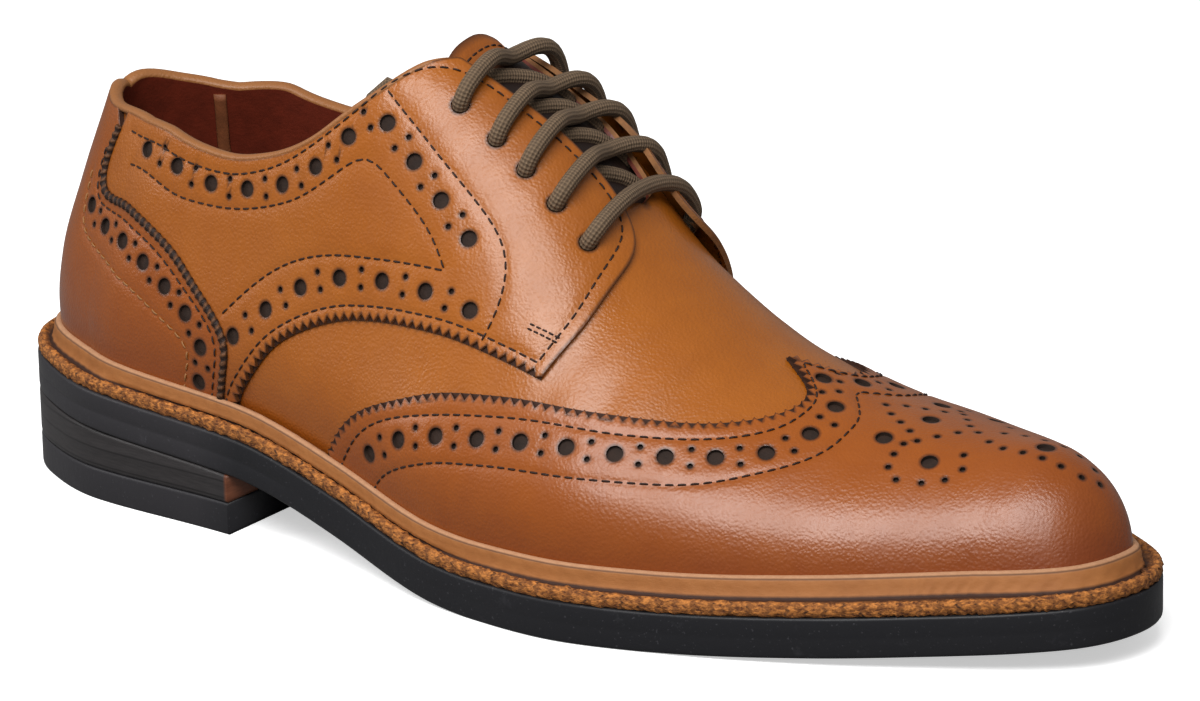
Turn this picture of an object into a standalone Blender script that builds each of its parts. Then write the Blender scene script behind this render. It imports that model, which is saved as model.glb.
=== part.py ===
"""Brogue shoe for the right foot: a wing-tip derby with a welted rubber sole and a stacked heel.

The shoe lies along X with the toe at +X, its outer (lateral) side at -Y and the floor at z = 0.
Every form is worked out from one last: a table of half widths for the plan, a spine line for the
profile and a back curve for the heel. Leather pieces are cut flat on a pattern and then laid on
the last's surface. Metres throughout.
"""

import math

import bmesh
import bpy
import numpy as np
from mathutils import Matrix, Vector
from mathutils.geometry import delaunay_2d_cdt

# Sole and heel
SOLE_LENGTH = 0.310
BALL_WIDTH = 0.112
OUTSOLE_THICKNESS = 0.0097
TOE_SPRING = 0.0065
TOE_CURL = 1.35
HEEL_LENGTH = 0.081
HEEL_RISE_BACK = 0.0200
HEEL_RISE_BREAST = 0.0150
TOP_PIECE_THICKNESS = 0.0080
EDGE_BEVEL = 0.0006
BEVEL_ANGLE = math.radians(60)

# Welt: a flat strip with an upright rib against the upper
WELT_THICKNESS = 0.0032
WELT_INSET = 0.0005
RIB_HEIGHT = 0.0072
RIB_THICKNESS = 0.0024
EXTENSION_BACK = 0.0078
EXTENSION_TOE = 0.0090

# Last and upper
INSTEP_HEIGHT = 0.092
BACK_CURVE_HEIGHT = 0.090
BACK_LEAN = 0.0243
RIDGE_OFFSET = 0.008
SIDE_BULGE = 0.074
BULGE_HEIGHT = 0.020
BULGE_SPREAD = 0.016
CROWN_SHARPNESS = 8
UPPER_WALL = 0.0018
OVERLAY_THICKNESS = 0.0012
INSOLE_THICKNESS = 0.0040
TONGUE_THICKNESS = 0.0024
PATTERN_GIRTH = 0.0942

# Laces
LACE_THICKNESS = 0.0040
LACE_RISE = 0.0010
LACE_DIP = 0.60
LACE_SPRING = 0.0006

# Clearances between neighbouring pieces
GAP = 0.0003
OVERLAY_GAP = 0.0004
WELT_GAP = 0.0007
INSOLE_GAP = 0.0014
TONGUE_GAP = 0.0008
JOINT = 0.0015

# How finely the pieces are divided
PATTERN_STEP = 0.0095
EDGE_STEP = 0.0060
EDGE_CLEAR = 0.40
HEEL_TURNS = 11
TOE_TURNS = 18
SIDE_STATIONS = 22
SOLE_COLUMNS = 3
LACE_STATIONS = 11
PROBE = 0.0004
LEAST = 0.00001
WELD = 0.00001

# Sole plan. share of SOLE_LENGTH from the heel; half widths as shares of BALL_WIDTH
PLAN = np.array([
    # along, lateral, medial
    (0.00, 0.000, 0.000),
    (0.02, 0.155, 0.152),
    (0.05, 0.225, 0.232),
    (0.12, 0.310, 0.322),
    (0.25, 0.350, 0.335),
    (0.38, 0.420, 0.305),
    (0.50, 0.510, 0.345),
    (0.60, 0.547, 0.425),
    (0.70, 0.495, 0.472),
    (0.80, 0.407, 0.462),
    (0.88, 0.312, 0.378),
    (0.94, 0.232, 0.240),
    (0.98, 0.150, 0.140),
    (1.00, 0.000, 0.000),
])

# How far the sole stands out past the upper, in shares of EXTENSION_TOE
EXTENSION = np.array([
    # along, share
    (0.00, 0.80),
    (0.30, 0.71),
    (0.45, 0.83),
    (0.60, 1.05),
    (0.80, 1.05),
    (1.00, 1.00),
])

# Height of the last's spine above the sole, as shares of INSTEP_HEIGHT
SPINE = np.array([
    # along the upper, height
    (0.000, 1.250),
    (0.200, 1.304),
    (0.320, 1.348),
    (0.400, 1.261),
    (0.500, 1.045),
    (0.600, 0.690),
    (0.700, 0.478),
    (0.800, 0.363),
    (0.880, 0.320),
    (0.930, 0.305),
    (0.960, 0.264),
    (0.985, 0.183),
    (1.000, 0.000),
])

# The instep is flattened under this height, as shares of INSTEP_HEIGHT
CROWN = np.array([
    # along the upper, height
    (0.00, 1.90),
    (0.32, 1.62),
    (0.40, 1.20),
    (0.45, 1.13),
    (0.50, 1.08),
    (0.58, 0.95),
    (1.00, 0.95),
])

# Back curve: how far the heel leans forward with height, in shares of BACK_LEAN
BACK = np.array([
    # height as a share of BACK_CURVE_HEIGHT, lean
    (0.00, 0.000),
    (0.13, -0.019),
    (0.28, 0.052),
    (0.50, 0.313),
    (0.72, 0.626),
    (1.00, 1.000),
])

# The ridge stands toward the inner side, in shares of RIDGE_OFFSET
RIDGE = np.array([
    # along the upper, share
    (0.00, 0.00),
    (0.30, 0.13),
    (0.50, 0.69),
    (0.70, 0.27),
    (0.88, 0.47),
    (1.00, 0.47),
])

# Where the last's plan stops being straight and turns as a fan of sections, shares of SOLE_LENGTH
FAN_HEEL = 0.129
FAN_TOE = 0.845
# The heel's lean is full behind the first of these shares and gone by the second
LEAN_FROM = 0.097
LEAN_TO = 0.42
# Half width, in ball widths, below which the sole's stand-out closes in with the outline
NARROWEST = 0.27
# The sole touches the floor between these shares of SOLE_LENGTH
FLAT_FROM = 0.532
FLAT_TO = 0.675

# Pattern lines on the lateral side. along: share of SOLE_LENGTH; down: share of the way from
# the ridge (0) to the sole (1). The medial side mirrors them, but for its lower collar.
COLLAR_LINE = (
    (0.042, 0.000),
    (0.046, 0.055),
    (0.060, 0.115),
    (0.090, 0.160),
    (0.120, 0.200),
    (0.168, 0.232),
    (0.223, 0.244),
    (0.265, 0.236),
    (0.310, 0.212),
    (0.350, 0.180),
    (0.385, 0.135),
    (0.423, 0.085),
)
MEDIAL_COLLAR_LINE = (
    (0.042, 0.000),
    (0.047, 0.050),
    (0.064, 0.118),
    (0.090, 0.172),
    (0.119, 0.212),
    (0.168, 0.240),
    (0.223, 0.252),
    (0.265, 0.245),
    (0.310, 0.220),
    (0.350, 0.184),
    (0.385, 0.135),
    (0.423, 0.085),
)
FACING_LINE = (
    (0.423, 0.085),
    (0.455, 0.080),
    (0.497, 0.074),
    (0.545, 0.064),
    (0.562, 0.072),
    (0.573, 0.100),
    (0.577, 0.150),
    (0.575, 0.310),
    (0.558, 0.480),
)
QUARTER_LINE = (
    (0.558, 0.480),
    (0.516, 0.457),
    (0.470, 0.446),
    (0.425, 0.448),
    (0.380, 0.466),
    (0.343, 0.510),
    (0.305, 0.595),
    (0.281, 0.720),
    (0.264, 0.840),
    (0.260, 0.905),
)
COUNTER_LINE = (
    (0.077, 0.145),
    (0.070, 0.170),
    (0.060, 0.195),
    (0.067, 0.240),
    (0.100, 0.290),
    (0.142, 0.350),
    (0.184, 0.415),
    (0.213, 0.490),
    (0.240, 0.570),
    (0.256, 0.660),
    (0.252, 0.780),
    (0.243, 0.905),
)
# In front of this share the counter's edge is always below the collar
COUNTER_CLEAR = 0.1
WING_LINE = (
    (0.362, 0.905),
    (0.380, 0.785),
    (0.400, 0.700),
    (0.440, 0.625),
    (0.480, 0.575),
    (0.525, 0.553),
    (0.590, 0.541),
    (0.635, 0.510),
    (0.680, 0.446),
    (0.715, 0.330),
    (0.727, 0.200),
    (0.722, 0.110),
    (0.705, 0.045),
    (0.688, 0.000),
)
FACING_END = 0.545
THROAT_POINT = 0.566
TONGUE_LINE = (
    (0.411, 0.000),
    (0.412, 0.060),
    (0.417, 0.120),
    (0.428, 0.170),
    (0.450, 0.205),
    (0.500, 0.225),
    (0.560, 0.215),
    (0.600, 0.170),
    (0.612, 0.080),
    (0.615, 0.000),
)

# The lace's free end, from behind the top eyelet to its tip
LACE_END_LINE = (
    (0.405, 0.172),
    (0.396, 0.152),
    (0.380, 0.150),
    (0.363, 0.170),
    (0.350, 0.205),
    (0.348, 0.250),
    (0.356, 0.300),
)

# Eyelets on the lateral side, the top one first. dip: how far the lace sinks to the tongue
EYELETS = (
    # along, down, dip
    (0.442, 0.150, 1.0),
    (0.471, 0.155, 1.0),
    (0.497, 0.155, 1.0),
    (0.523, 0.155, 1.0),
    (0.551, 0.158, 0.0),
)


def interpolate(positions, values, at):
    """Smooth monotone interpolation through a short table."""
    positions = np.asarray(positions, float)
    values = np.asarray(values, float)
    at = np.clip(at, positions[0], positions[-1])
    step = np.diff(positions)
    slope = np.diff(values) / step
    tangent = np.zeros(len(positions))
    before = 2 * step[1:] + step[:-1]
    after = step[1:] + 2 * step[:-1]
    agree = slope[:-1] * slope[1:] > 0
    left = np.where(agree, slope[:-1], 1)
    right = np.where(agree, slope[1:], 1)
    tangent[1:-1] = np.where(agree, (before + after) / (before / left + after / right), 0)
    tangent[0] = slope[0]
    tangent[-1] = slope[-1]
    i = np.clip(np.searchsorted(positions, at, side="right") - 1, 0, len(step) - 1)
    t = (at - positions[i]) / step[i]
    return (
        (1 + 2 * t) * (1 - t) ** 2 * values[i]
        + t * (1 - t) ** 2 * step[i] * tangent[i]
        + t * t * (3 - 2 * t) * values[i + 1]
        + t * t * (t - 1) * step[i] * tangent[i + 1]
    )


def ease(t):
    t = np.clip(t, 0, 1)
    return t * t * (3 - 2 * t)


def round_ends(share):
    """Turns a share of the length into an angle, so that a table closes round at both ends."""
    return np.arccos(1 - 2 * np.clip(share, 0, 1))


def sole_half_width(x, side):
    """Half width of the sole at x, for side -1 (lateral) or +1 (medial)."""
    angle = round_ends(x / SOLE_LENGTH)
    stations = round_ends(PLAN[:, 0])
    lateral = interpolate(stations, PLAN[:, 1], angle)
    medial = interpolate(stations, PLAN[:, 2], angle)
    return np.where(side < 0, lateral, medial) * BALL_WIDTH


def sole_bottom(x):
    """Height of the outsole's underside: heel seat, waist, flat tread and toe spring."""
    flat_from = FLAT_FROM * SOLE_LENGTH
    flat_to = FLAT_TO * SOLE_LENGTH
    run = flat_from - HEEL_LENGTH
    pitch = (HEEL_RISE_BREAST - HEEL_RISE_BACK) / HEEL_LENGTH
    t = np.clip((x - HEEL_LENGTH) / run, 0, 1)
    waist = (2 * t**3 - 3 * t**2 + 1) * HEEL_RISE_BREAST + (t**3 - 2 * t**2 + t) * pitch * run
    seat = HEEL_RISE_BACK + pitch * x
    toe = TOE_SPRING * np.clip((x - flat_to) / (SOLE_LENGTH - flat_to), 0, 1) ** TOE_CURL
    return np.where(x < HEEL_LENGTH, seat, np.where(x > flat_to, toe, waist))


def upper_floor(x):
    """Height at which the upper, the welt and the insole start, just clear of the outsole."""
    return sole_bottom(x) + OUTSOLE_THICKNESS + GAP


def upper_share(x):
    return np.clip((x - EXTENSION_BACK) / (SOLE_LENGTH - EXTENSION_BACK - EXTENSION_TOE), 0, 1)


def last_half_width(x, side):
    """Half width of the last at the sole, inside the sole's outline by the extension."""
    share = upper_share(x)
    width = sole_half_width(share * SOLE_LENGTH, side)
    extension = interpolate(EXTENSION[:, 0], EXTENSION[:, 1], share) * EXTENSION_TOE
    return width * (1 - extension / np.maximum(width, NARROWEST * BALL_WIDTH))


def spine_height(x):
    heights = interpolate(round_ends(SPINE[:, 0]), SPINE[:, 1], round_ends(upper_share(x)))
    return np.maximum(heights * INSTEP_HEIGHT, LEAST)


def bulge(z):
    return 1 + SIDE_BULGE * np.exp(-(((z - BULGE_HEIGHT) / BULGE_SPREAD) ** 2))


def inside_last(x, y, z):
    """Below 1 inside the upright last, whose sole is flat at z = 0."""
    width = np.maximum(last_half_width(x, y) * bulge(z), LEAST)
    section = (y / width) ** 2 + (z / spine_height(x)) ** 2
    crown = (z / (interpolate(CROWN[:, 0], CROWN[:, 1], upper_share(x)) * INSTEP_HEIGHT)) ** 2
    beyond = (x < EXTENSION_BACK) | (x > SOLE_LENGTH - EXTENSION_TOE)
    sharp = CROWN_SHARPNESS
    both = (np.minimum(section, 2) ** sharp + np.minimum(crown, 2) ** sharp) ** (1 / sharp)
    return np.where(section < 2, both, section) + 2 * beyond


def settle(x, y, z):
    """Leans the heel, moves the ridge to the inner side and puts the last on its sole."""
    lean = interpolate(BACK[:, 0] * BACK_CURVE_HEIGHT, BACK[:, 1] * BACK_LEAN, z)
    start = LEAN_FROM * SOLE_LENGTH
    end = LEAN_TO * SOLE_LENGTH
    moved = x + lean * (1 - ease((x - start) / (end - start)))
    ridge = interpolate(RIDGE[:, 0], RIDGE[:, 1] * RIDGE_OFFSET, upper_share(x))
    across = y + ridge * ease(z / spine_height(x))
    return np.stack([moved, across, z + upper_floor(moved)], -1)


def march(inside, reach):
    """Distance at which each ray leaves a form, by halving. inside takes distances."""
    near = np.zeros_like(reach)
    far = reach.copy()
    for _ in range(34):
        middle = (near + far) / 2
        within = inside(middle)
        near = np.where(within, middle, near)
        far = np.where(within, far, middle)
    return (near + far) / 2


def skin(along, across):
    """Point of the last's surface for pattern coordinates: along the shoe, and out from the ridge."""
    centre = np.clip(along, FAN_HEEL * SOLE_LENGTH, FAN_TOE * SOLE_LENGTH)
    out = np.hypot(along - centre, across)
    safe = np.maximum(out, LEAST)
    heading_x = (along - centre) / safe
    heading_y = across / safe
    rise = (1 - out / PATTERN_GIRTH) * math.pi / 2
    flat = np.cos(rise)
    up = np.sin(rise)

    def place(r):
        return centre + r * flat * heading_x, r * flat * heading_y, r * up

    reach = np.full_like(out, 2 * INSTEP_HEIGHT)
    r = march(lambda distance: inside_last(*place(distance)) < 1, reach)
    return settle(*place(r))


def lasted(pattern, offset):
    """Pattern points (n, 2) laid on the last, moved out along its normal by offset."""
    along = pattern[:, 0]
    across = pattern[:, 1]
    point = skin(along, across)
    slope_along = skin(along + PROBE, across) - skin(along - PROBE, across)
    slope_across = skin(along, across + PROBE) - skin(along, across - PROBE)
    normal = np.cross(slope_along, slope_across)
    normal /= np.linalg.norm(normal, axis=1)[:, None]
    return point + normal * np.reshape(offset, (-1, 1))


def to_pattern(line, side=-1):
    """A pattern line in metres, on the lateral (-1) or medial (+1) side."""
    points = np.array(line, float)
    return np.stack([points[:, 0] * SOLE_LENGTH, side * points[:, 1] * PATTERN_GIRTH], -1)


def curve_through(points, step):
    """Evenly spaced points on a smooth curve through the given ones, both ends kept."""
    lengths = np.concatenate([[0], np.cumsum(np.linalg.norm(np.diff(points, axis=0), axis=1))])
    count = max(2, int(round(lengths[-1] / step)) + 1)
    at = np.linspace(0, lengths[-1], count)
    return np.stack([interpolate(lengths, points[:, k], at) for k in range(points.shape[1])], -1)


def foot_line(start, share, step, toe=True):
    """Pattern line at a share of the girth: from start on the lateral side, round the toe or
    the heel, and back to start on the medial side."""
    radius = share * PATTERN_GIRTH
    centre = (FAN_TOE if toe else FAN_HEEL) * SOLE_LENGTH
    turns = np.linspace(-math.pi / 2, math.pi / 2, int(math.pi * radius / step) + 1)
    reach = np.cos(turns) if toe else -np.cos(turns)
    bend = np.stack([centre + reach * radius, np.sin(turns) * radius], -1)
    leg = straight(start, centre, -radius, step)
    return np.concatenate([leg[:-1], bend, leg[:-1][::-1] * (1, -1)])


def straight(start, end, across, step):
    count = max(2, int(abs(end - start) / step) + 1)
    along = np.linspace(start, end, count)
    return np.stack([along, np.full(count, across)], -1)


def draw_pattern(loops):
    """One flat mesh that holds every piece's outline. Returns points and triangles."""
    points = np.concatenate(loops)
    edges = []
    start = 0
    for loop in loops:
        count = len(loop)
        edges += [(start + i, start + (i + 1) % count) for i in range(count)]
        start += count
    lattice = pattern_lattice(points.min(0), points.max(0))
    spacing = np.linalg.norm(lattice[:, None] - points[None], axis=2).min(1)
    everything = np.concatenate([points, lattice[spacing > EDGE_CLEAR * PATTERN_STEP]])
    scaled = [Vector(point) for point in everything * 1000]
    result = delaunay_2d_cdt(scaled, edges, [], 0, 1e-3)
    flat = np.array([tuple(v) for v in result[0]]) / 1000
    return flat, np.array([tuple(face) for face in result[2]])


def cut_pattern(outline, hole=None):
    """The part of the pattern inside an outline. Returns points and triangles."""
    flat, triangles = pattern
    middles = flat[triangles].mean(1)
    kept = within_outline(middles, outline)
    if hole is not None:
        kept &= ~within_outline(middles, hole)
    triangles = triangles[kept]
    used = np.unique(triangles)
    return flat[used], np.searchsorted(used, triangles)


def pattern_lattice(low, high):
    """Staggered grid of points over the pattern."""
    row_step = PATTERN_STEP * math.sqrt(3) / 2
    points = []
    for row in range(math.floor(low[1] / row_step), math.ceil(high[1] / row_step) + 1):
        shift = PATTERN_STEP / 2 * (row % 2)
        first = math.floor((low[0] - shift) / PATTERN_STEP)
        last = math.ceil((high[0] - shift) / PATTERN_STEP)
        points += [(shift + column * PATTERN_STEP, row * row_step)
                   for column in range(first, last + 1)]
    return np.array(points)


def within_outline(points, outline):
    """Which points lie inside a closed outline, by counting crossings."""
    crossings = np.zeros(len(points), int)
    for a, b in zip(outline, np.roll(outline, -1, 0)):
        spans = (a[1] > points[:, 1]) != (b[1] > points[:, 1])
        rise = b[1] - a[1] if b[1] != a[1] else 1
        meets = a[0] + (points[:, 1] - a[1]) / rise * (b[0] - a[0])
        crossings += spans & (points[:, 0] < meets)
    return crossings % 2 == 1


def border_edges(triangles):
    """Directed edges that belong to one triangle only."""
    seen = {}
    for a, b, c in triangles:
        for edge in ((a, b), (b, c), (c, a)):
            seen[edge] = True
    return [edge for edge in seen if (edge[1], edge[0]) not in seen]


def mesh_object(name, points, faces, colour, roughness, smooth=True):
    """An object of its own, with its own material, in the shoe's collection."""
    mesh = bpy.data.meshes.new(name)
    mesh.from_pydata([tuple(p) for p in points], [], [tuple(int(i) for i in f) for f in faces])
    work = bmesh.new()
    work.from_mesh(mesh)
    bmesh.ops.remove_doubles(work, verts=work.verts, dist=WELD)
    bmesh.ops.recalc_face_normals(work, faces=work.faces)
    if work.calc_volume(signed=True) < 0:
        bmesh.ops.reverse_faces(work, faces=work.faces)
    work.to_mesh(mesh)
    work.free()
    if smooth:
        mesh.shade_smooth()
        mesh.set_sharp_from_angle(angle=math.radians(40))
    mesh.materials.append(material(name, colour, roughness))
    made = bpy.data.objects.new(name, mesh)
    shoe.objects.link(made)
    return made


def material(name, colour, roughness):
    made = bpy.data.materials.new(name)
    made.use_nodes = True
    shader = made.node_tree.nodes["Principled BSDF"]
    shader.inputs["Base Color"].default_value = (*colour, 1)
    shader.inputs["Roughness"].default_value = roughness
    shader.inputs["Metallic"].default_value = 0
    return made


def above_rib(outline):
    """Draws an outline's points up the last until they clear the welt's rib."""
    centre = np.clip(outline[:, 0], FAN_HEEL * SOLE_LENGTH, FAN_TOE * SOLE_LENGTH)
    arm = outline - np.stack([centre, np.zeros_like(centre)], -1)
    out = np.maximum(np.hypot(arm[:, 0], arm[:, 1]), LEAST)
    toward = arm / out[:, None]
    height = RIB_HEIGHT + 2 * OVERLAY_GAP

    def within(r):
        z = np.full_like(r, height)
        return inside_last(centre + r * toward[:, 0], r * toward[:, 1], z) < 1

    r = march(within, np.full_like(out, BALL_WIDTH))
    lowest = (1 - np.arctan2(height, r) * 2 / math.pi) * PATTERN_GIRTH
    raised = outline + toward * (np.minimum(out, lowest) - out)[:, None]
    spacing = np.linalg.norm(raised - np.roll(raised, 1, 0), axis=1)
    return raised[spacing > EDGE_CLEAR * EDGE_STEP]


def leather_piece(name, outline, inner, outer, colour, roughness, hole=None):
    """A flat piece laid on the last as a solid between two offsets from its surface."""
    flat, triangles = cut_pattern(outline, hole)
    count = len(flat)
    points = np.concatenate([lasted(flat, inner), lasted(flat, outer)])
    faces = [(a + count, b + count, c + count) for a, b, c in triangles]
    faces += [(a, c, b) for a, b, c in triangles]
    faces += [(a, b, b + count, a + count) for a, b in border_edges(triangles)]
    return mesh_object(name, points, faces, colour, roughness)


def overlay(name, outline, roughness):
    """A leather piece on top of the upper."""
    top = OVERLAY_GAP + OVERLAY_THICKNESS
    leather_piece(name, outline, OVERLAY_GAP, top, LEATHER, roughness)


def plan_slab(name, lateral, medial, bottom, top, colour, roughness):
    """A slab between two edges in plan (rows of x, y) and two heights."""
    shares = np.linspace(0, 1, SOLE_COLUMNS + 1)[None, :, None]
    plan = lateral[:, None] * (1 - shares) + medial[:, None] * shares
    rows, columns = plan.shape[:2]
    plan = plan.reshape(-1, 2)
    under = np.column_stack([plan, bottom(plan[:, 0])])
    over = np.column_stack([plan, top(plan[:, 0])])
    size = rows * columns
    faces = []
    for i in range(rows - 1):
        for j in range(SOLE_COLUMNS):
            a = i * columns + j
            b = a + columns
            faces.append((a, a + 1, b + 1, b))
            faces.append((size + a, size + b, size + b + 1, size + a + 1))
    ring = [i * columns for i in range(rows)]
    ring += [(rows - 1) * columns + j for j in range(1, columns)]
    ring += [i * columns + SOLE_COLUMNS for i in range(rows - 2, -1, -1)]
    ring += [j for j in range(SOLE_COLUMNS - 1, 0, -1)]
    for a, b in zip(ring, ring[1:] + ring[:1]):
        faces.append((a, b, size + b, size + a))
    made = mesh_object(name, np.concatenate([under, over]), faces, colour, roughness)
    soften = made.modifiers.new("edge", "BEVEL")
    soften.width = EDGE_BEVEL
    soften.segments = 1
    soften.limit_method = "ANGLE"
    soften.angle_limit = BEVEL_ANGLE
    return made


def half_stations():
    """Stations from the middle of the heel, along the lateral side, to the middle of the toe:
    where each looks out from, and its heading."""
    heel_turns = np.linspace(-math.pi, -math.pi / 2, HEEL_TURNS + 1)
    toe_turns = np.linspace(-math.pi / 2, 0, TOE_TURNS + 1)
    along = np.linspace(FAN_HEEL * SOLE_LENGTH, FAN_TOE * SOLE_LENGTH, SIDE_STATIONS)
    along = np.unique(np.append(along, HEEL_LENGTH))[1:-1]
    centres = np.concatenate([
        np.full(HEEL_TURNS + 1, FAN_HEEL * SOLE_LENGTH),
        along,
        np.full(TOE_TURNS + 1, FAN_TOE * SOLE_LENGTH),
    ])
    headings = np.concatenate([heel_turns, np.full(len(along), -math.pi / 2), toe_turns])
    return centres, headings


def ring_headings():
    """Stations right round the shoe, the medial side mirroring the lateral one."""
    centres, headings = half_stations()
    return (
        np.concatenate([centres, centres[-2:0:-1]]),
        np.concatenate([headings, -headings[-2:0:-1]]),
    )


def sides_of(loop):
    """The lateral and medial edges of a ring, each from heel to toe, in plan."""
    half = len(loop) // 2
    lateral = loop[:half + 1, :2]
    medial = np.concatenate([loop[:1], loop[half:][::-1]])[:, :2]
    return lateral, medial


def last_loop(height, offset):
    """The upper's outline in plan at a height above its floor, moved out by offset."""
    centres, headings = ring_headings()
    toward = np.stack([np.cos(headings), np.sin(headings)], -1)

    def within(r):
        z = np.full_like(r, height)
        return inside_last(centres + r * toward[:, 0], r * toward[:, 1], z) < 1

    r = march(within, np.full_like(centres, BALL_WIDTH))
    loop = settle(centres + r * toward[:, 0], r * toward[:, 1], np.full_like(r, height))
    return moved_out(loop, offset)


def sole_loop(height, inset):
    """The sole's outline in plan, moved in by inset, at a height above the welt's floor."""
    centres, headings = ring_headings()
    toward = np.stack([np.cos(headings), np.sin(headings)], -1)

    def within(r):
        x = centres + r * toward[:, 0]
        y = r * toward[:, 1]
        return (np.abs(y) < sole_half_width(x, y)) & (x > 0) & (x < SOLE_LENGTH)

    r = march(within, np.full_like(centres, BALL_WIDTH))
    x = centres + r * toward[:, 0]
    loop = np.stack([x, r * toward[:, 1], upper_floor(x) + height], -1)
    return moved_out(loop, -inset)


def moved_out(loop, offset):
    tangent = np.roll(loop, -1, 0)[:, :2] - np.roll(loop, 1, 0)[:, :2]
    normal = np.stack([tangent[:, 1], -tangent[:, 0]], -1)
    normal /= np.linalg.norm(normal, axis=1)[:, None]
    moved = loop.copy()
    moved[:, :2] += normal * offset
    return moved


def ring_solid(name, loops, colour, roughness):
    """A closed ring through loops that go round its section."""
    count = len(loops[0])
    faces = []
    for k in range(len(loops)):
        here = k * count
        there = (k + 1) % len(loops) * count
        for i in range(count):
            j = (i + 1) % count
            faces.append((here + i, here + j, there + j, there + i))
    return mesh_object(name, np.concatenate(loops), faces, colour, roughness)


def cord(name, points, thickness, colour):
    """A round cord along points, as a solid with flat ends."""
    data = bpy.data.curves.new(name, "CURVE")
    data.dimensions = "3D"
    data.bevel_depth = thickness / 2
    data.bevel_resolution = 2
    data.use_fill_caps = True
    spline = data.splines.new("POLY")
    spline.points.add(len(points) - 1)
    for target, point in zip(spline.points, points):
        target.co = (*point, 1)
    data.materials.append(material(name, colour, CLOTH_ROUGH))
    made = bpy.data.objects.new(name, data)
    shoe.objects.link(made)
    return made


def outsole():
    lateral, medial = sides_of(sole_loop(0, 0))
    plan_slab("outsole", lateral, medial, sole_bottom,
              lambda x: sole_bottom(x) + OUTSOLE_THICKNESS, RUBBER, RUBBER_ROUGH)


def heel():
    """The stack under the heel seat and the top piece that walks on the floor."""
    lateral, medial = sides_of(sole_loop(0, 0))
    seat = lateral[:, 0] < HEEL_LENGTH + PROBE
    plan_slab("heel_stack", lateral[seat], medial[seat],
              lambda x: np.full_like(x, TOP_PIECE_THICKNESS + GAP),
              lambda x: sole_bottom(x) - GAP, STACK, STACK_ROUGH)
    plan_slab("heel_top_piece", lateral[seat], medial[seat],
              np.zeros_like,
              lambda x: np.full_like(x, TOP_PIECE_THICKNESS), RUBBER, RUBBER_ROUGH)


def welt():
    """A strip all round with a rib that stands against the upper."""
    round_off = RIB_THICKNESS / 4
    outer = WELT_GAP + RIB_THICKNESS
    loops = [
        last_loop(0, WELT_GAP),
        last_loop(RIB_HEIGHT / 2, WELT_GAP),
        last_loop(RIB_HEIGHT, WELT_GAP),
        last_loop(RIB_HEIGHT, outer - round_off),
        last_loop(RIB_HEIGHT - round_off, outer),
        last_loop(WELT_THICKNESS, outer),
        sole_loop(WELT_THICKNESS, WELT_INSET + round_off),
        sole_loop(WELT_THICKNESS - round_off, WELT_INSET),
        sole_loop(0, WELT_INSET),
    ]
    ring_solid("welt", loops, WELT_TAN, WELT_ROUGH)


def insole():
    """A leather board inside the upper, on the outsole."""
    lateral, medial = sides_of(last_loop(INSOLE_THICKNESS, -UPPER_WALL - INSOLE_GAP))
    plan_slab("insole", lateral, medial, upper_floor,
              lambda x: upper_floor(x) + INSOLE_THICKNESS, LINING_TAN, LINING_ROUGH)


def collar_curve(side):
    line = COLLAR_LINE if side < 0 else MEDIAL_COLLAR_LINE
    return curve_through(to_pattern(line, side), EDGE_STEP)


def facing_curve(side):
    return curve_through(to_pattern(FACING_LINE, side), EDGE_STEP)


def opening_half(side):
    """Edge of the opening from the back of the collar down the facing."""
    facing = facing_curve(side)
    inner = facing[facing[:, 0] < FACING_END * SOLE_LENGTH]
    return np.concatenate([collar_curve(side), inner[1:]])


def opening_outline():
    """The opening of the upper: the collar and the throat down to the vamp."""
    tip = np.array([[THROAT_POINT * SOLE_LENGTH, 0]])
    return np.concatenate([opening_half(-1), tip, opening_half(1)[1:][::-1]])


def upper_outline():
    middle = 0.5 * SOLE_LENGTH
    toe = foot_line(middle, 1, EDGE_STEP)
    back = foot_line(middle, 1, EDGE_STEP, toe=False)
    return np.concatenate([toe, back[1:-1][::-1]])


def wing_outline():
    lateral = curve_through(to_pattern(WING_LINE), EDGE_STEP)
    foot = foot_line(lateral[0, 0], 1, EDGE_STEP)
    return above_rib(np.concatenate([lateral, lateral[:-1][::-1] * (1, -1), foot[1:-1][::-1]]))


def counter_curve(side):
    """The counter's front edge, from just under the collar down to the sole."""
    edge = curve_through(to_pattern(COUNTER_LINE, side), EDGE_STEP)
    collar = collar_curve(side)
    drop = np.abs(edge[:, 1]) - np.interp(edge[:, 0], collar[:, 0], np.abs(collar[:, 1]))
    return edge[(drop > JOINT) | (edge[:, 0] > COUNTER_CLEAR * SOLE_LENGTH)]


def counter_outline():
    """Round the heel, narrowing to a back strip at the collar."""
    tops = []
    for side in (-1, 1):
        collar = collar_curve(side)
        tops.append(collar[collar[:, 0] < counter_curve(side)[0, 0] - JOINT])
    foot = foot_line(counter_curve(-1)[-1, 0], 1, EDGE_STEP, toe=False)
    return above_rib(np.concatenate([
        tops[0][::-1],
        tops[1][1:],
        counter_curve(1),
        foot[1:-1][::-1],
        counter_curve(-1)[::-1],
    ]))


def quarter_outline(side):
    """From the counter's edge along the collar, down the facing and back along the vamp."""
    collar = collar_curve(side)
    counter = counter_curve(side) + (JOINT, 0)
    lower = curve_through(to_pattern(QUARTER_LINE, side), EDGE_STEP)
    top = collar[collar[:, 0] > counter[0, 0] + JOINT]
    return above_rib(np.concatenate([counter[::-1], top, facing_curve(side)[1:], lower[1:]]))


def tongue_outline():
    half = curve_through(to_pattern(TONGUE_LINE), EDGE_STEP)
    return np.concatenate([half, half[1:-1][::-1] * (1, -1)])


def upper():
    """One hollow shell of lining and vamp, open at the collar and throat and underneath."""
    leather_piece("upper", upper_outline(), -UPPER_WALL, 0, LEATHER, LEATHER_ROUGH, opening_outline())


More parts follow.
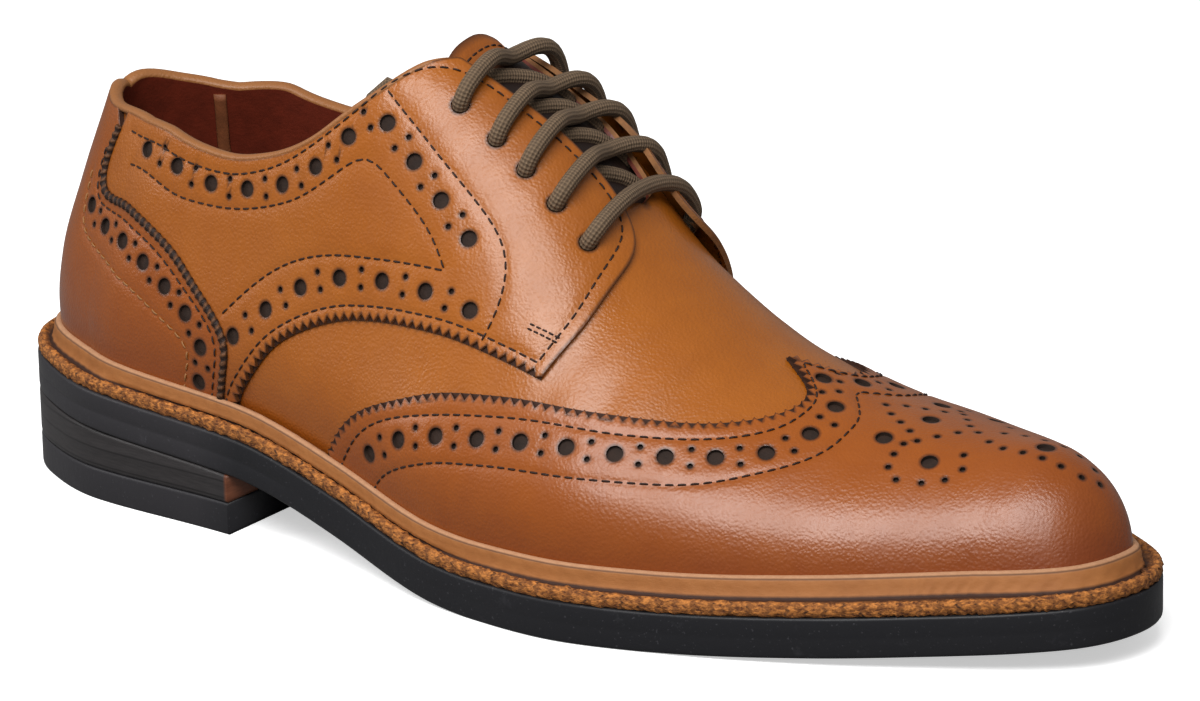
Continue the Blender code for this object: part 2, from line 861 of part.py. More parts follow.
def tongue():
    top = -UPPER_WALL - TONGUE_GAP
    leather_piece("tongue", tongue_outline(), top - TONGUE_THICKNESS, top, LEATHER, TONGUE_ROUGH)


def lace_bars():
    """Straight bars of lace from each lateral eyelet to the medial one, low over the tongue."""
    half = LACE_THICKNESS / 2
    on_facing = OVERLAY_GAP + OVERLAY_THICKNESS + GAP
    on_tongue = GAP - UPPER_WALL - TONGUE_GAP
    shares = np.linspace(-1, 1, LACE_STATIONS)
    over_facing = on_facing + LACE_RISE * np.sqrt(1 - np.abs(shares) ** 3)
    dip = (over_facing - on_tongue) * (1 - ease(np.abs(shares) / LACE_DIP))
    across = np.concatenate([[-1], shares, [1]])
    for number, (along, down, sink) in enumerate(EYELETS, 1):
        rise = np.concatenate([[on_facing], half + over_facing - sink * dip, [on_facing]])
        line = np.column_stack([
            np.full(len(across), along * SOLE_LENGTH),
            across * down * PATTERN_GIRTH,
        ])
        cord(f"lace_bar_{number}", lasted(line, rise), LACE_THICKNESS, LACE_BROWN)


def lace_end():
    """The free end of the lace, tucked inside the lateral quarter behind the top eyelet."""
    line = curve_through(to_pattern(LACE_END_LINE), LACE_THICKNESS)
    inside = -UPPER_WALL - LACE_SPRING - LACE_THICKNESS / 2
    cord("lace_end", lasted(line, inside), LACE_THICKNESS, LACE_BROWN)


def centre_on_sole():
    """Puts the origin under the middle of the sole."""
    edge = sole_loop(0, 0)[:, :2]
    middle = (edge.min(0) + edge.max(0)) / 2
    for piece in shoe.objects:
        piece.data.transform(Matrix.Translation((-middle[0], -middle[1], 0)))


LEATHER = (0.52, 0.22, 0.06)
LINING_TAN = (0.45, 0.25, 0.12)
WELT_TAN = (0.60, 0.32, 0.12)
RUBBER = (0.03, 0.03, 0.033)
STACK = (0.035, 0.025, 0.02)
LACE_BROWN = (0.09, 0.07, 0.05)
# and how rough each surface is
POLISHED_ROUGH = 0.3
LEATHER_ROUGH = 0.35
TONGUE_ROUGH = 0.45
STACK_ROUGH = 0.5
WELT_ROUGH = 0.6
RUBBER_ROUGH = 0.6
LINING_ROUGH = 0.7
CLOTH_ROUGH = 0.7

for old in list(bpy.data.objects):
    bpy.data.objects.remove(old, do_unlink=True)
shoe = bpy.data.collections.new("brogue_shoe")
bpy.context.scene.collection.children.link(shoe)

pattern = draw_pattern([
    upper_outline(),
    opening_outline(),
    wing_outline(),
    counter_outline(),
    quarter_outline(-1),
    quarter_outline(1),
    tongue_outline(),
])

outsole()
heel()
welt()
insole()
upper()
overlay("wing_cap", wing_outline(), POLISHED_ROUGH)
overlay("heel_counter", counter_outline(), LEATHER_ROUGH)
overlay("quarter_lateral", quarter_outline(-1), POLISHED_ROUGH)
overlay("quarter_medial", quarter_outline(1), POLISHED_ROUGH)
tongue()
lace_bars()
lace_end()
centre_on_sole()
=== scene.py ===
"""The looks of a tan brogue shoe: a wing-tip derby with straight-bar laces, a storm welt, a
rubber sole and a stacked heel. Metres, toe at +X, floor at z = 0, outer side at -Y."""

import math

import bmesh
import bpy
import numpy as np
from mathutils import Matrix, Vector
from mathutils.geometry import delaunay_2d_cdt
from mathutils.kdtree import KDTree


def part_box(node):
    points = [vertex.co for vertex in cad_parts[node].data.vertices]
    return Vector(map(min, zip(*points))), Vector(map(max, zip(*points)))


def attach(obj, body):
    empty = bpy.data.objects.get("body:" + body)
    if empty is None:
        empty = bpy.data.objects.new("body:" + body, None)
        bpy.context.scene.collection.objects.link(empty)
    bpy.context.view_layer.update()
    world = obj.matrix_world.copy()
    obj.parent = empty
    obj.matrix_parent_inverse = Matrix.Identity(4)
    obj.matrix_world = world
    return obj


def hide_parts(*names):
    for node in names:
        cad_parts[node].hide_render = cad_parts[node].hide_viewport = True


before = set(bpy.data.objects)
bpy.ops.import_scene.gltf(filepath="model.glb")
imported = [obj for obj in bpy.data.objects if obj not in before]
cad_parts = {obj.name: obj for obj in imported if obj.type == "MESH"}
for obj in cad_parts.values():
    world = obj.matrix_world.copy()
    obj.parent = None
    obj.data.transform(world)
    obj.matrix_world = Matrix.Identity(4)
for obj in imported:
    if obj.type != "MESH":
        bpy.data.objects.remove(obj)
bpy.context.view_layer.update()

# The camera
# A long lens, level with the laces, that looks at the outer side from ahead of the ball and
# leans a little, as the photograph does.
CAMERA_AZIMUTH = math.radians(34.174)
CAMERA_ELEVATION = math.radians(17.274)
CAMERA_ROLL = math.radians(-1.14)
CAMERA_DISTANCE = 1.4024
CAMERA_TARGET = Vector((0.00759, 0.00412, 0.0485))
CAMERA_LENS = 179.22

backward = Vector((
    math.sin(CAMERA_AZIMUTH) * math.cos(CAMERA_ELEVATION),
    -math.cos(CAMERA_AZIMUTH) * math.cos(CAMERA_ELEVATION),
    math.sin(CAMERA_ELEVATION),
))
level = Vector((math.cos(CAMERA_AZIMUTH), math.sin(CAMERA_AZIMUTH), 0))
upward = backward.cross(level)
rolled_right = level * math.cos(CAMERA_ROLL) + upward * math.sin(CAMERA_ROLL)
rolled_up = upward * math.cos(CAMERA_ROLL) - level * math.sin(CAMERA_ROLL)
lens = bpy.data.cameras.new("camera")
lens.lens = CAMERA_LENS
lens.sensor_width = 36
lens.sensor_fit = "HORIZONTAL"
lens.clip_end = 20
camera = bpy.data.objects.new("camera", lens)
turn = Matrix((rolled_right, rolled_up, backward)).transposed().to_4x4()
camera.matrix_world = Matrix.Translation(CAMERA_TARGET + backward * CAMERA_DISTANCE) @ turn
bpy.context.scene.collection.objects.link(camera)
bpy.context.scene.camera = camera

# The last
# The wooden form that the shoe is made over. Leather is cut flat on a pattern, which runs along
# the shoe and out from the ridge, and lay() puts a pattern point on the last's surface.
MM = 0.001
SOLE_LENGTH = 0.310
BALL_WIDTH = 0.112
OUTSOLE_THICKNESS = 0.0097
TOE_SPRING = 0.0065
TOE_CURL = 1.35
HEEL_LENGTH = 0.081
HEEL_RISE_BACK = 0.0200
HEEL_RISE_BREAST = 0.0150
EXTENSION_BACK = 0.0078
EXTENSION_TOE = 0.0090
INSTEP_HEIGHT = 0.092
BACK_CURVE_HEIGHT = 0.090
BACK_LEAN = 0.0243
RIDGE_OFFSET = 0.008
SIDE_BULGE = 0.074
BULGE_HEIGHT = 0.020
BULGE_SPREAD = 0.016
CROWN_SHARPNESS = 8
PATTERN_GIRTH = 0.0942
FAN_HEEL = 0.129
FAN_TOE = 0.845
FLAT_FROM = 0.532
FLAT_TO = 0.675

PLAN = np.array([
    # along, lateral, medial: half widths of the sole in ball widths
    (0.00, 0.000, 0.000), (0.02, 0.155, 0.152), (0.05, 0.225, 0.232), (0.12, 0.310, 0.322),
    (0.25, 0.350, 0.335), (0.38, 0.420, 0.305), (0.50, 0.510, 0.345), (0.60, 0.547, 0.425),
    (0.70, 0.495, 0.472), (0.80, 0.407, 0.462), (0.88, 0.312, 0.378), (0.94, 0.232, 0.240),
    (0.98, 0.150, 0.140), (1.00, 0.000, 0.000),
])
EXTENSION = np.array([
    # along, how far the sole stands out, in toe extensions
    (0.00, 0.80), (0.30, 0.71), (0.45, 0.83), (0.60, 1.05), (0.80, 1.05), (1.00, 1.00),
])
SPINE = np.array([
    # along the upper, height of the ridge in instep heights
    (0.000, 1.250), (0.200, 1.304), (0.320, 1.348), (0.400, 1.261), (0.500, 1.045),
    (0.600, 0.690), (0.700, 0.478), (0.800, 0.363), (0.880, 0.320), (0.930, 0.305),
    (0.960, 0.264), (0.985, 0.183), (1.000, 0.000),
])
CROWN = np.array([
    # along the upper, height under which the instep is flattened, in instep heights
    (0.00, 1.90), (0.32, 1.62), (0.40, 1.20), (0.45, 1.13), (0.50, 1.08), (0.58, 0.95),
    (1.00, 0.95),
])
BACK = np.array([
    # height in back curve heights, lean
    (0.00, 0.000), (0.13, -0.019), (0.28, 0.052), (0.50, 0.313), (0.72, 0.626), (1.00, 1.000),
])
RIDGE = np.array([
    # along the upper, how far the ridge stands to the inner side
    (0.00, 0.00), (0.30, 0.13), (0.50, 0.69), (0.70, 0.27), (0.88, 0.47), (1.00, 0.47),
])


def smooth_table(positions, values, at):
    """Smooth monotone interpolation through a short table."""
    step = np.diff(positions)
    slope = np.diff(values) / step
    tangent = np.zeros(len(positions))
    before = 2 * step[1:] + step[:-1]
    after = step[1:] + 2 * step[:-1]
    agree = slope[:-1] * slope[1:] > 0
    left = np.where(agree, slope[:-1], 1)
    right = np.where(agree, slope[1:], 1)
    tangent[1:-1] = np.where(agree, (before + after) / (before / left + after / right), 0)
    tangent[0] = slope[0]
    tangent[-1] = slope[-1]
    at = np.clip(at, positions[0], positions[-1])
    i = np.clip(np.searchsorted(positions, at, side="right") - 1, 0, len(step) - 1)
    t = (at - positions[i]) / step[i]
    return (
        (1 + 2 * t) * (1 - t) ** 2 * values[i]
        + t * (1 - t) ** 2 * step[i] * tangent[i]
        + t * t * (3 - 2 * t) * values[i + 1]
        + t * t * (t - 1) * step[i] * tangent[i + 1]
    )


def ease(t):
    t = np.clip(t, 0, 1)
    return t * t * (3 - 2 * t)


def arc_of(share):
    """A share of the length as an angle, so that a table closes round at both ends."""
    return np.arccos(1 - 2 * np.clip(share, 0, 1))


# The tables are read once, closely, at these stations along the shoe.
STATIONS = SOLE_LENGTH * (1 - np.cos(np.linspace(0, math.pi, 6001))) / 2
upper_run = SOLE_LENGTH - EXTENSION_BACK - EXTENSION_TOE
upper_shares = np.clip((STATIONS - EXTENSION_BACK) / upper_run, 0, 1)
SOLE_WIDTHS = {}
LAST_WIDTHS = {}
for side, column in ((-1, 1), (1, 2)):
    widths = smooth_table(arc_of(PLAN[:, 0]), PLAN[:, column], arc_of(STATIONS / SOLE_LENGTH))
    SOLE_WIDTHS[side] = widths * BALL_WIDTH
    inner = smooth_table(arc_of(PLAN[:, 0]), PLAN[:, column], arc_of(upper_shares)) * BALL_WIDTH
    stand = smooth_table(EXTENSION[:, 0], EXTENSION[:, 1], upper_shares) * EXTENSION_TOE
    LAST_WIDTHS[side] = inner * (1 - stand / np.maximum(inner, 0.27 * BALL_WIDTH))
ridge_arc = smooth_table(arc_of(SPINE[:, 0]), SPINE[:, 1], arc_of(upper_shares))
SPINE_HEIGHTS = np.maximum(ridge_arc * INSTEP_HEIGHT, 1e-4)
CROWN_HEIGHTS = smooth_table(CROWN[:, 0], CROWN[:, 1], upper_shares) * INSTEP_HEIGHT
RIDGE_SHIFTS = smooth_table(RIDGE[:, 0], RIDGE[:, 1], upper_shares) * RIDGE_OFFSET


def sole_bottom(x):
    """Height of the outsole's underside: heel seat, waist, flat tread and toe spring."""
    flat_from = FLAT_FROM * SOLE_LENGTH
    flat_to = FLAT_TO * SOLE_LENGTH
    run = flat_from - HEEL_LENGTH
    pitch = (HEEL_RISE_BREAST - HEEL_RISE_BACK) / HEEL_LENGTH
    t = np.clip((x - HEEL_LENGTH) / run, 0, 1)
    waist = (2 * t**3 - 3 * t**2 + 1) * HEEL_RISE_BREAST + (t**3 - 2 * t**2 + t) * pitch * run
    seat = HEEL_RISE_BACK + pitch * x
    toe = TOE_SPRING * np.clip((x - flat_to) / (SOLE_LENGTH - flat_to), 0, 1) ** TOE_CURL
    return np.where(x < HEEL_LENGTH, seat, np.where(x > flat_to, toe, waist))


def floor_of(x):
    """Height at which the upper and the welt stand on the outsole."""
    return sole_bottom(x) + OUTSOLE_THICKNESS


def wide(x, y, widths):
    return np.where(y < 0, np.interp(x, STATIONS, widths[-1]), np.interp(x, STATIONS, widths[1]))


def inside_last(x, y, z):
    """Below 1 inside the last, while it stands upright on a flat sole."""
    swell = 1 + SIDE_BULGE * np.exp(-(((z - BULGE_HEIGHT) / BULGE_SPREAD) ** 2))
    width = np.maximum(wide(x, y, LAST_WIDTHS) * swell, 1e-5)
    section = (y / width) ** 2 + (z / np.interp(x, STATIONS, SPINE_HEIGHTS)) ** 2
    crown = (z / np.interp(x, STATIONS, CROWN_HEIGHTS)) ** 2
    beyond = (x < EXTENSION_BACK) | (x > SOLE_LENGTH - EXTENSION_TOE)
    powers = np.minimum(section, 2) ** CROWN_SHARPNESS + np.minimum(crown, 2) ** CROWN_SHARPNESS
    return np.where(section < 2, powers ** (1 / CROWN_SHARPNESS), section) + 2 * beyond


def reach(form, count, farthest):
    """How far each of count rays runs before form(distance) passes 1."""
    near = np.zeros(count)
    far = np.full(count, farthest)
    for _ in range(16):
        middle = (near + far) / 2
        within = form(middle) < 1
        near = np.where(within, middle, near)
        far = np.where(within, far, middle)
    low = form(near) - 1
    high = form(far) - 1
    for _ in range(7):
        middle = far - high * (far - near) / np.where(high - low == 0, 1, high - low)
        value = form(middle) - 1
        within = value < 0
        high = np.where(within, high / 2, value)
        far = np.where(within, far, middle)
        low = np.where(within, value, low / 2)
        near = np.where(within, middle, near)
    return (near + far) / 2


# The origin lies under the middle of the sole.
sole_low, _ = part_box("outsole")
CENTRE_X = -sole_low[0]
CENTRE_Y = sole_low[1] + PLAN[:, 1].max() * BALL_WIDTH


def settle(x, y, z):
    """Leans the heel, moves the ridge to the inner side and stands the last on its sole."""
    lean = smooth_table(BACK[:, 0] * BACK_CURVE_HEIGHT, BACK[:, 1] * BACK_LEAN, z)
    start = FAN_HEEL * SOLE_LENGTH * 0.75
    end = 0.42 * SOLE_LENGTH
    moved = x + lean * (1 - ease((x - start) / (end - start)))
    ridge = np.interp(x, STATIONS, RIDGE_SHIFTS)
    across = y + ridge * ease(z / np.interp(x, STATIONS, SPINE_HEIGHTS))
    return np.stack([moved - CENTRE_X, across + CENTRE_Y, z + floor_of(moved)], -1)


def skin(pattern):
    """Points of the last's surface for pattern points in metres."""
    along, across = pattern[:, 0], pattern[:, 1]
    centre = np.clip(along, FAN_HEEL * SOLE_LENGTH, FAN_TOE * SOLE_LENGTH)
    out = np.hypot(along - centre, across)
    safe = np.maximum(out, 1e-9)
    rise = (1 - out / PATTERN_GIRTH) * math.pi / 2
    flat_x = np.cos(rise) * (along - centre) / safe
    flat_y = np.cos(rise) * across / safe
    up = np.sin(rise)
    r = reach(lambda d: inside_last(centre + d * flat_x, d * flat_y, d * up), len(out), 0.18)
    return settle(centre + r * flat_x, r * flat_y, r * up)


PROBE = 0.0002
SMOOTHING = 0.0035


def frame_at(pattern):
    """Surface point, normal, and the two steps of the surface for a step on the pattern."""
    point = skin(pattern)
    along = (skin(pattern + (PROBE, 0)) - point) / PROBE
    across = (skin(pattern + (0, PROBE)) - point) / PROBE
    normal = np.cross(along, across)
    normal /= np.linalg.norm(normal, axis=1)[:, None]
    return point, normal, along, across


def lay(pattern, offset):
    """Pattern points laid on the last, at an offset from its surface."""
    point, normal, _, _ = frame_at(pattern)
    return point + normal * np.reshape(offset, (-1, 1))


def flat_step(pattern, forward, sideways):
    """Pattern points moved by lengths measured on the surface."""
    _, _, along, across = frame_at(pattern)
    first = np.linalg.norm(along, axis=1)
    unit = along / first[:, None]
    slant = (across * unit).sum(1)
    second = np.linalg.norm(across - unit * slant[:, None], axis=1)
    step_across = sideways / second
    step_along = (forward - slant * step_across) / first
    return pattern + np.stack([step_along, step_across], -1)


def on_pattern(line, side=-1):
    """A line of (along, down) shares, in pattern metres, on the outer (-1) or inner side."""
    points = np.array(line, float)
    return np.stack([points[:, 0] * SOLE_LENGTH, side * points[:, 1] * PATTERN_GIRTH], -1)


def through(points, step=0.0005):
    """A smooth curve through pattern points, finely divided."""
    lengths = np.concatenate([[0], np.cumsum(np.linalg.norm(np.diff(points, axis=0), axis=1))])
    at = np.linspace(0, lengths[-1], max(3, int(lengths[-1] / step)))
    line = np.stack([smooth_table(lengths, points[:, k], at) for k in (0, 1)], -1)
    return eased(line, min(SMOOTHING / step, len(line) / 8))


def eased(line, spread):
    """The line with its small waves smoothed away and its ends kept."""
    reach_of = max(1, min(int(3 * spread), len(line) - 2))
    weights = np.exp(-0.5 * (np.arange(-reach_of, reach_of + 1) / spread) ** 2)
    weights /= weights.sum()
    before = 2 * line[0] - line[reach_of:0:-1]
    after = 2 * line[-1] - line[-2:-reach_of - 2:-1]
    longer = np.concatenate([before, line, after])
    return np.stack([np.convolve(longer[:, k], weights, "valid") for k in (0, 1)], -1)


def evenly(line, step, closed_count=None):
    """The line's points at equal steps along the surface."""
    surface = skin(line)
    lengths = np.concatenate([[0], np.cumsum(np.linalg.norm(np.diff(surface, axis=0), axis=1))])
    count = closed_count or max(1, round(lengths[-1] / step))
    at = np.linspace(0, lengths[-1], count + 1)
    return np.stack([np.interp(at, lengths, line[:, k]) for k in (0, 1)], -1)


def beside(line, distance):
    """The line moved to its left by a distance measured on the surface."""
    _, _, along, across = frame_at(line)
    run = np.gradient(line, axis=0)
    ahead = along * run[:, :1] + across * run[:, 1:]
    unit = along / np.linalg.norm(along, axis=1)[:, None]
    other = across - unit * (across * unit).sum(1)[:, None]
    other /= np.linalg.norm(other, axis=1)[:, None]
    forward = (ahead * unit).sum(1)
    sideways = (ahead * other).sum(1)
    length = np.hypot(forward, sideways)
    return flat_step(line, -sideways / length * distance, forward / length * distance)


# The vamp and its lining
# Calf cut in one piece over the toe and instep, lasted over a thinner burgundy lining. Both run
# under the wing, counter and quarters, and are open at the collar and down the throat.


def mesh_piece(name, points, faces, materials, face_materials=None):
    """An object of the shoe from points and faces; it rides on the shoe's one body."""
    mesh = bpy.data.meshes.new(name)
    mesh.from_pydata(np.asarray(points).tolist(), [], [tuple(map(int, face)) for face in faces])
    for material in materials:
        mesh.materials.append(material)
    if face_materials is not None:
        mesh.polygons.foreach_set("material_index", np.asarray(face_materials, np.int32))
    mesh.polygons.foreach_set("use_smooth", np.ones(len(mesh.polygons), bool))
    made = bpy.data.objects.new(name, mesh)
    bpy.context.scene.collection.objects.link(made)
    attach(made, "root")
    return made


def give(made, name, values):
    """A number for every point of a piece, for its material to read."""
    attribute = made.data.attributes.new(name, "FLOAT", "POINT")
    attribute.data.foreach_set("value", np.asarray(values, np.float32))


def distance_to(points, others):
    """How far each point is from the nearest of the others."""
    tree = KDTree(len(others))
    for index, other in enumerate(others):
        tree.insert(other, index)
    tree.balance()
    return np.array([tree.find(point)[2] for point in points])


def tube(line, radius, sides, flat, up):
    """Points and faces of a tube along a line, its ends closed. flat is its height by its width."""
    line = np.asarray(line, float)
    radius = np.broadcast_to(radius, len(line))
    ahead = np.gradient(line, axis=0)
    ahead /= np.linalg.norm(ahead, axis=1)[:, None]
    aside = np.cross(ahead, up)
    aside /= np.linalg.norm(aside, axis=1)[:, None]
    over = np.cross(aside, ahead)
    turns = np.linspace(0, 2 * math.pi, sides, endpoint=False)
    rings = (
        line[:, None]
        + radius[:, None, None] * np.cos(turns)[None, :, None] * aside[:, None]
        + radius[:, None, None] * flat * np.sin(turns)[None, :, None] * over[:, None]
    )
    points = np.concatenate([rings.reshape(-1, 3), line[:1], line[-1:]])
    faces = []
    last = len(line) - 1
    for i in range(last):
        for k in range(sides):
            n = (k + 1) % sides
            faces.append((i * sides + k, (i + 1) * sides + k, (i + 1) * sides + n, i * sides + n))
    start, end = len(points) - 2, len(points) - 1
    for k in range(sides):
        n = (k + 1) % sides
        faces.append((start, k, n))
        faces.append((end, last * sides + n, last * sides + k))
    return points, faces


def joined(parts):
    """Several sets of points and faces as one."""
    points, faces, start = [], [], 0
    for some_points, some_faces in parts:
        points.append(some_points)
        faces += [tuple(index + start for index in face) for face in some_faces]
        start += len(some_points)
    return np.concatenate(points), faces


def new_material(name):
    material = bpy.data.materials.new(name)
    material.use_nodes = True
    shader = material.node_tree.nodes["Principled BSDF"]
    return material, material.node_tree, shader


def add_node(tree, kind, **settings):
    """A node with its inputs set: a socket's value, or a link where another socket is given."""
    made = tree.nodes.new(kind)
    inputs = settings.pop("inputs", {})
    for key, value in settings.items():
        setattr(made, key, value)
    for key, value in inputs.items():
        if isinstance(value, bpy.types.NodeSocket):
            tree.links.new(value, made.inputs[key])
        else:
            made.inputs[key].default_value = value
    return made


def read_number(tree, name):
    return add_node(tree, "ShaderNodeAttribute", attribute_name=name).outputs["Fac"]


def object_point(tree):
    return add_node(tree, "ShaderNodeTexCoord").outputs["Object"]


def math_of(tree, operation, first, second=0.0):
    inputs = {0: first, 1: second}
    return add_node(tree, "ShaderNodeMath", operation=operation, inputs=inputs).outputs[0]


def from_range(tree, value, low, high, out_low=0.0, out_high=1.0):
    inputs = {"Value": value, "From Min": low, "From Max": high,
              "To Min": out_low, "To Max": out_high}
    return add_node(tree, "ShaderNodeMapRange", inputs=inputs).outputs["Result"]


def blend_colours(tree, factor, first, second):
    made = add_node(tree, "ShaderNodeMix", data_type="RGBA")
    for socket, value in (("Factor_Float", factor), ("A_Color", first), ("B_Color", second)):
        target = next(item for item in made.inputs if item.identifier == socket)
        if isinstance(value, bpy.types.NodeSocket):
            tree.links.new(value, target)
        else:
            target.default_value = value if socket == "Factor_Float" else (*value, 1)
    return next(item for item in made.outputs if item.identifier == "Result_Color")


def noise(tree, point, scale, detail=3.0, roughness=0.55):
    inputs = {"Vector": point, "Scale": scale, "Detail": detail, "Roughness": roughness}
    return add_node(tree, "ShaderNodeTexNoise", inputs=inputs).outputs["Fac"]


def new_group(name, inputs, outputs):
    """A node group with named inputs and outputs, floats unless a colour is given."""
    group = bpy.data.node_groups.new(name, "ShaderNodeTree")
    for label, value in inputs.items():
        kind = "NodeSocketColor" if isinstance(value, tuple) else "NodeSocketFloat"
        socket = group.interface.new_socket(label, in_out="INPUT", socket_type=kind)
        socket.default_value = (*value, 1) if isinstance(value, tuple) else value
    for label, kind in outputs.items():
        group.interface.new_socket(label, in_out="OUTPUT", socket_type=kind)
    entry = group.nodes.new("NodeGroupInput")
    leave = group.nodes.new("NodeGroupOutput")
    return group, entry, leave


def use_group(tree, group, **inputs):
    made = tree.nodes.new("ShaderNodeGroup")
    made.node_tree = group
    for key, value in inputs.items():
        socket = made.inputs[key.replace("_", " ")]
        if isinstance(value, bpy.types.NodeSocket):
            tree.links.new(value, socket)
        else:
            socket.default_value = (*value, 1) if isinstance(value, tuple) else value
    return made


def feed(tree, shader, **sockets):
    """Values or links for the shader's sockets, by their names."""
    for key, value in sockets.items():
        socket = shader.inputs[key.replace("_", " ")]
        if isinstance(value, bpy.types.NodeSocket):
            tree.links.new(value, socket)
        elif isinstance(value, tuple):
            socket.default_value = (*value, 1)
        else:
            socket.default_value = value


def bumped(tree, height, distance, strength):
    inputs = {"Height": height, "Distance": distance, "Strength": strength}
    return add_node(tree, "ShaderNodeBump", inputs=inputs).outputs["Normal"]


# Grain: pebbles with creases between them, and finer pores. Height runs from 0 to 1.
grain, entry, leave = new_group(
    "grain", {"Pebbles": 1300.0, "Pores": 3400.0, "Softness": 0.5}, {"Height": "NodeSocketFloat"},
)
point = object_point(grain)
drift = add_node(grain, "ShaderNodeTexNoise", inputs={"Vector": point, "Scale": 300.0})
shaken = add_node(
    grain, "ShaderNodeVectorMath", operation="MULTIPLY_ADD",
    inputs={0: drift.outputs["Color"], 1: (0.0012, 0.0012, 0.0012), 2: point},
).outputs[0]
cells = add_node(
    grain, "ShaderNodeTexVoronoi", feature="SMOOTH_F1",
    inputs={"Vector": shaken, "Scale": entry.outputs["Pebbles"],
            "Smoothness": entry.outputs["Softness"]},
)
pebble = from_range(grain, cells.outputs["Distance"], 0.75, 0.1)
pores = add_node(
    grain, "ShaderNodeTexNoise",
    inputs={"Vector": point, "Scale": entry.outputs["Pores"], "Detail": 3.0},
).outputs["Fac"]
total = math_of(grain, "ADD", math_of(grain, "MULTIPLY", pebble, 0.7),
                math_of(grain, "MULTIPLY", pores, 0.3))
grain.links.new(total, leave.inputs["Height"])

# Burnish and edge shade: hand-rubbed polish, darker at the toe, up the heel and low along the
# feather line as the Tone says; near cut edges and holes the colour turns to the Edge colour, partly
# edge stain and partly painted shade.
burnish_and_edge_shade, entry, leave = new_group(
    "burnish_and_edge_shade",
    {"Tan": (0.5, 0.2, 0.04), "Brown": (0.2, 0.05, 0.01), "Edge": (0.12, 0.035, 0.008),
     "Tone": 0.0, "Distance": 0.02, "Reach": 0.0025},
    {"Color": "NodeSocketColor"},
)
point = object_point(burnish_and_edge_shade)
cloud = noise(burnish_and_edge_shade, point, 22.0, 4.0)
fine = noise(burnish_and_edge_shade, point, 160.0, 4.0)
spread = add_node(burnish_and_edge_shade, "ShaderNodeMath", operation="MULTIPLY_ADD",
                  inputs={0: cloud, 1: 0.55, 2: -0.275}).outputs[0]
fine_spread = add_node(burnish_and_edge_shade, "ShaderNodeMath", operation="MULTIPLY_ADD",
                       inputs={0: fine, 1: 0.30, 2: -0.15}).outputs[0]
tone = math_of(burnish_and_edge_shade, "ADD", entry.outputs["Tone"], math_of(burnish_and_edge_shade, "ADD", spread, fine_spread))
tone = from_range(burnish_and_edge_shade, tone, 0.0, 1.0)
body_colour = blend_colours(burnish_and_edge_shade, tone, entry.outputs["Tan"], entry.outputs["Brown"])
# Near a cut edge or a hole's rim the colour turns dark: partly edge stain, partly painted shade.
near = math_of(burnish_and_edge_shade, "DIVIDE", entry.outputs["Distance"], entry.outputs["Reach"])
near = from_range(burnish_and_edge_shade, near, 0.0, 1.0, 0.85, 0.0)
whole = blend_colours(burnish_and_edge_shade, near, body_colour, entry.outputs["Edge"])
burnish_and_edge_shade.links.new(whole, leave.inputs["Color"])


def leather(name, tan, brown, edge, roughness, coat, bump, reach=0.0025):
    """Polished calf: the piece's points say their tone and how far the nearest edge is."""
    material, tree, shader = new_material(name)
    # The polished colour, darkened near edges and hole rims: partly edge stain, partly painted
    # shade.
    polished_and_shaded = use_group(tree, burnish_and_edge_shade, Tan=tan, Brown=brown, Edge=edge,
                       Tone=read_number(tree, "tone"), Distance=read_number(tree, "edge"),
                       Reach=reach)
    pebbled = use_group(tree, grain)
    mottle = noise(tree, object_point(tree), 60.0, 3.0)
    feed(tree, shader, Base_Color=polished_and_shaded.outputs["Color"],
         Roughness=from_range(tree, mottle, 0.3, 0.7, roughness - 0.06, roughness + 0.08),
         Coat_Weight=coat, Coat_Roughness=0.22, Coat_IOR=1.45,
         Normal=bumped(tree, pebbled.outputs["Height"], 0.0003, bump))
    return material


def plain(name, colour, roughness, bump_scale=900.0, bump=0.3, spots=0.15, coat=0.0):
    """A matt stuff with a little unevenness in colour and surface."""
    material, tree, shader = new_material(name)
    point = object_point(tree)
    patches = noise(tree, point, bump_scale / 4, 4.0)
    dark = tuple(value * (1 - 2 * spots) for value in colour)
    light = tuple(min(1.0, value * (1 + 2 * spots)) for value in colour)
    feed(tree, shader, Base_Color=blend_colours(tree, patches, dark, light),
         Roughness=roughness, Coat_Weight=coat,
         Normal=bumped(tree, noise(tree, point, bump_scale, 4.0), 0.0003, bump))
    return material


VAMP_TAN = (0.422, 0.134, 0.0098)
VAMP_BROWN = (0.210, 0.046, 0.0045)
# The dark colour near cut edges and hole rims: partly edge stain, partly painted shade.
EDGE_STAIN_AND_SHADE = (0.030, 0.008, 0.0025)
vamp_leather = leather("vamp_leather", VAMP_TAN, VAMP_BROWN, EDGE_STAIN_AND_SHADE, 0.37, 0.32, 0.34)
cut_tan = plain("facing_cut", (0.27, 0.12, 0.040), 0.7, 1800.0, 0.5, 0.25)
# The near-black floor seen in each punched hole: painted shade over the vamp beneath.
hole_floor_shade = plain("hole_floor_shade", (0.030, 0.015, 0.009), 0.8, 1500.0, 0.5, 0.35)
lining_leather = plain("lining_leather", (0.155, 0.024, 0.010), 0.5, 1200.0, 0.35, 0.2, 0.15)

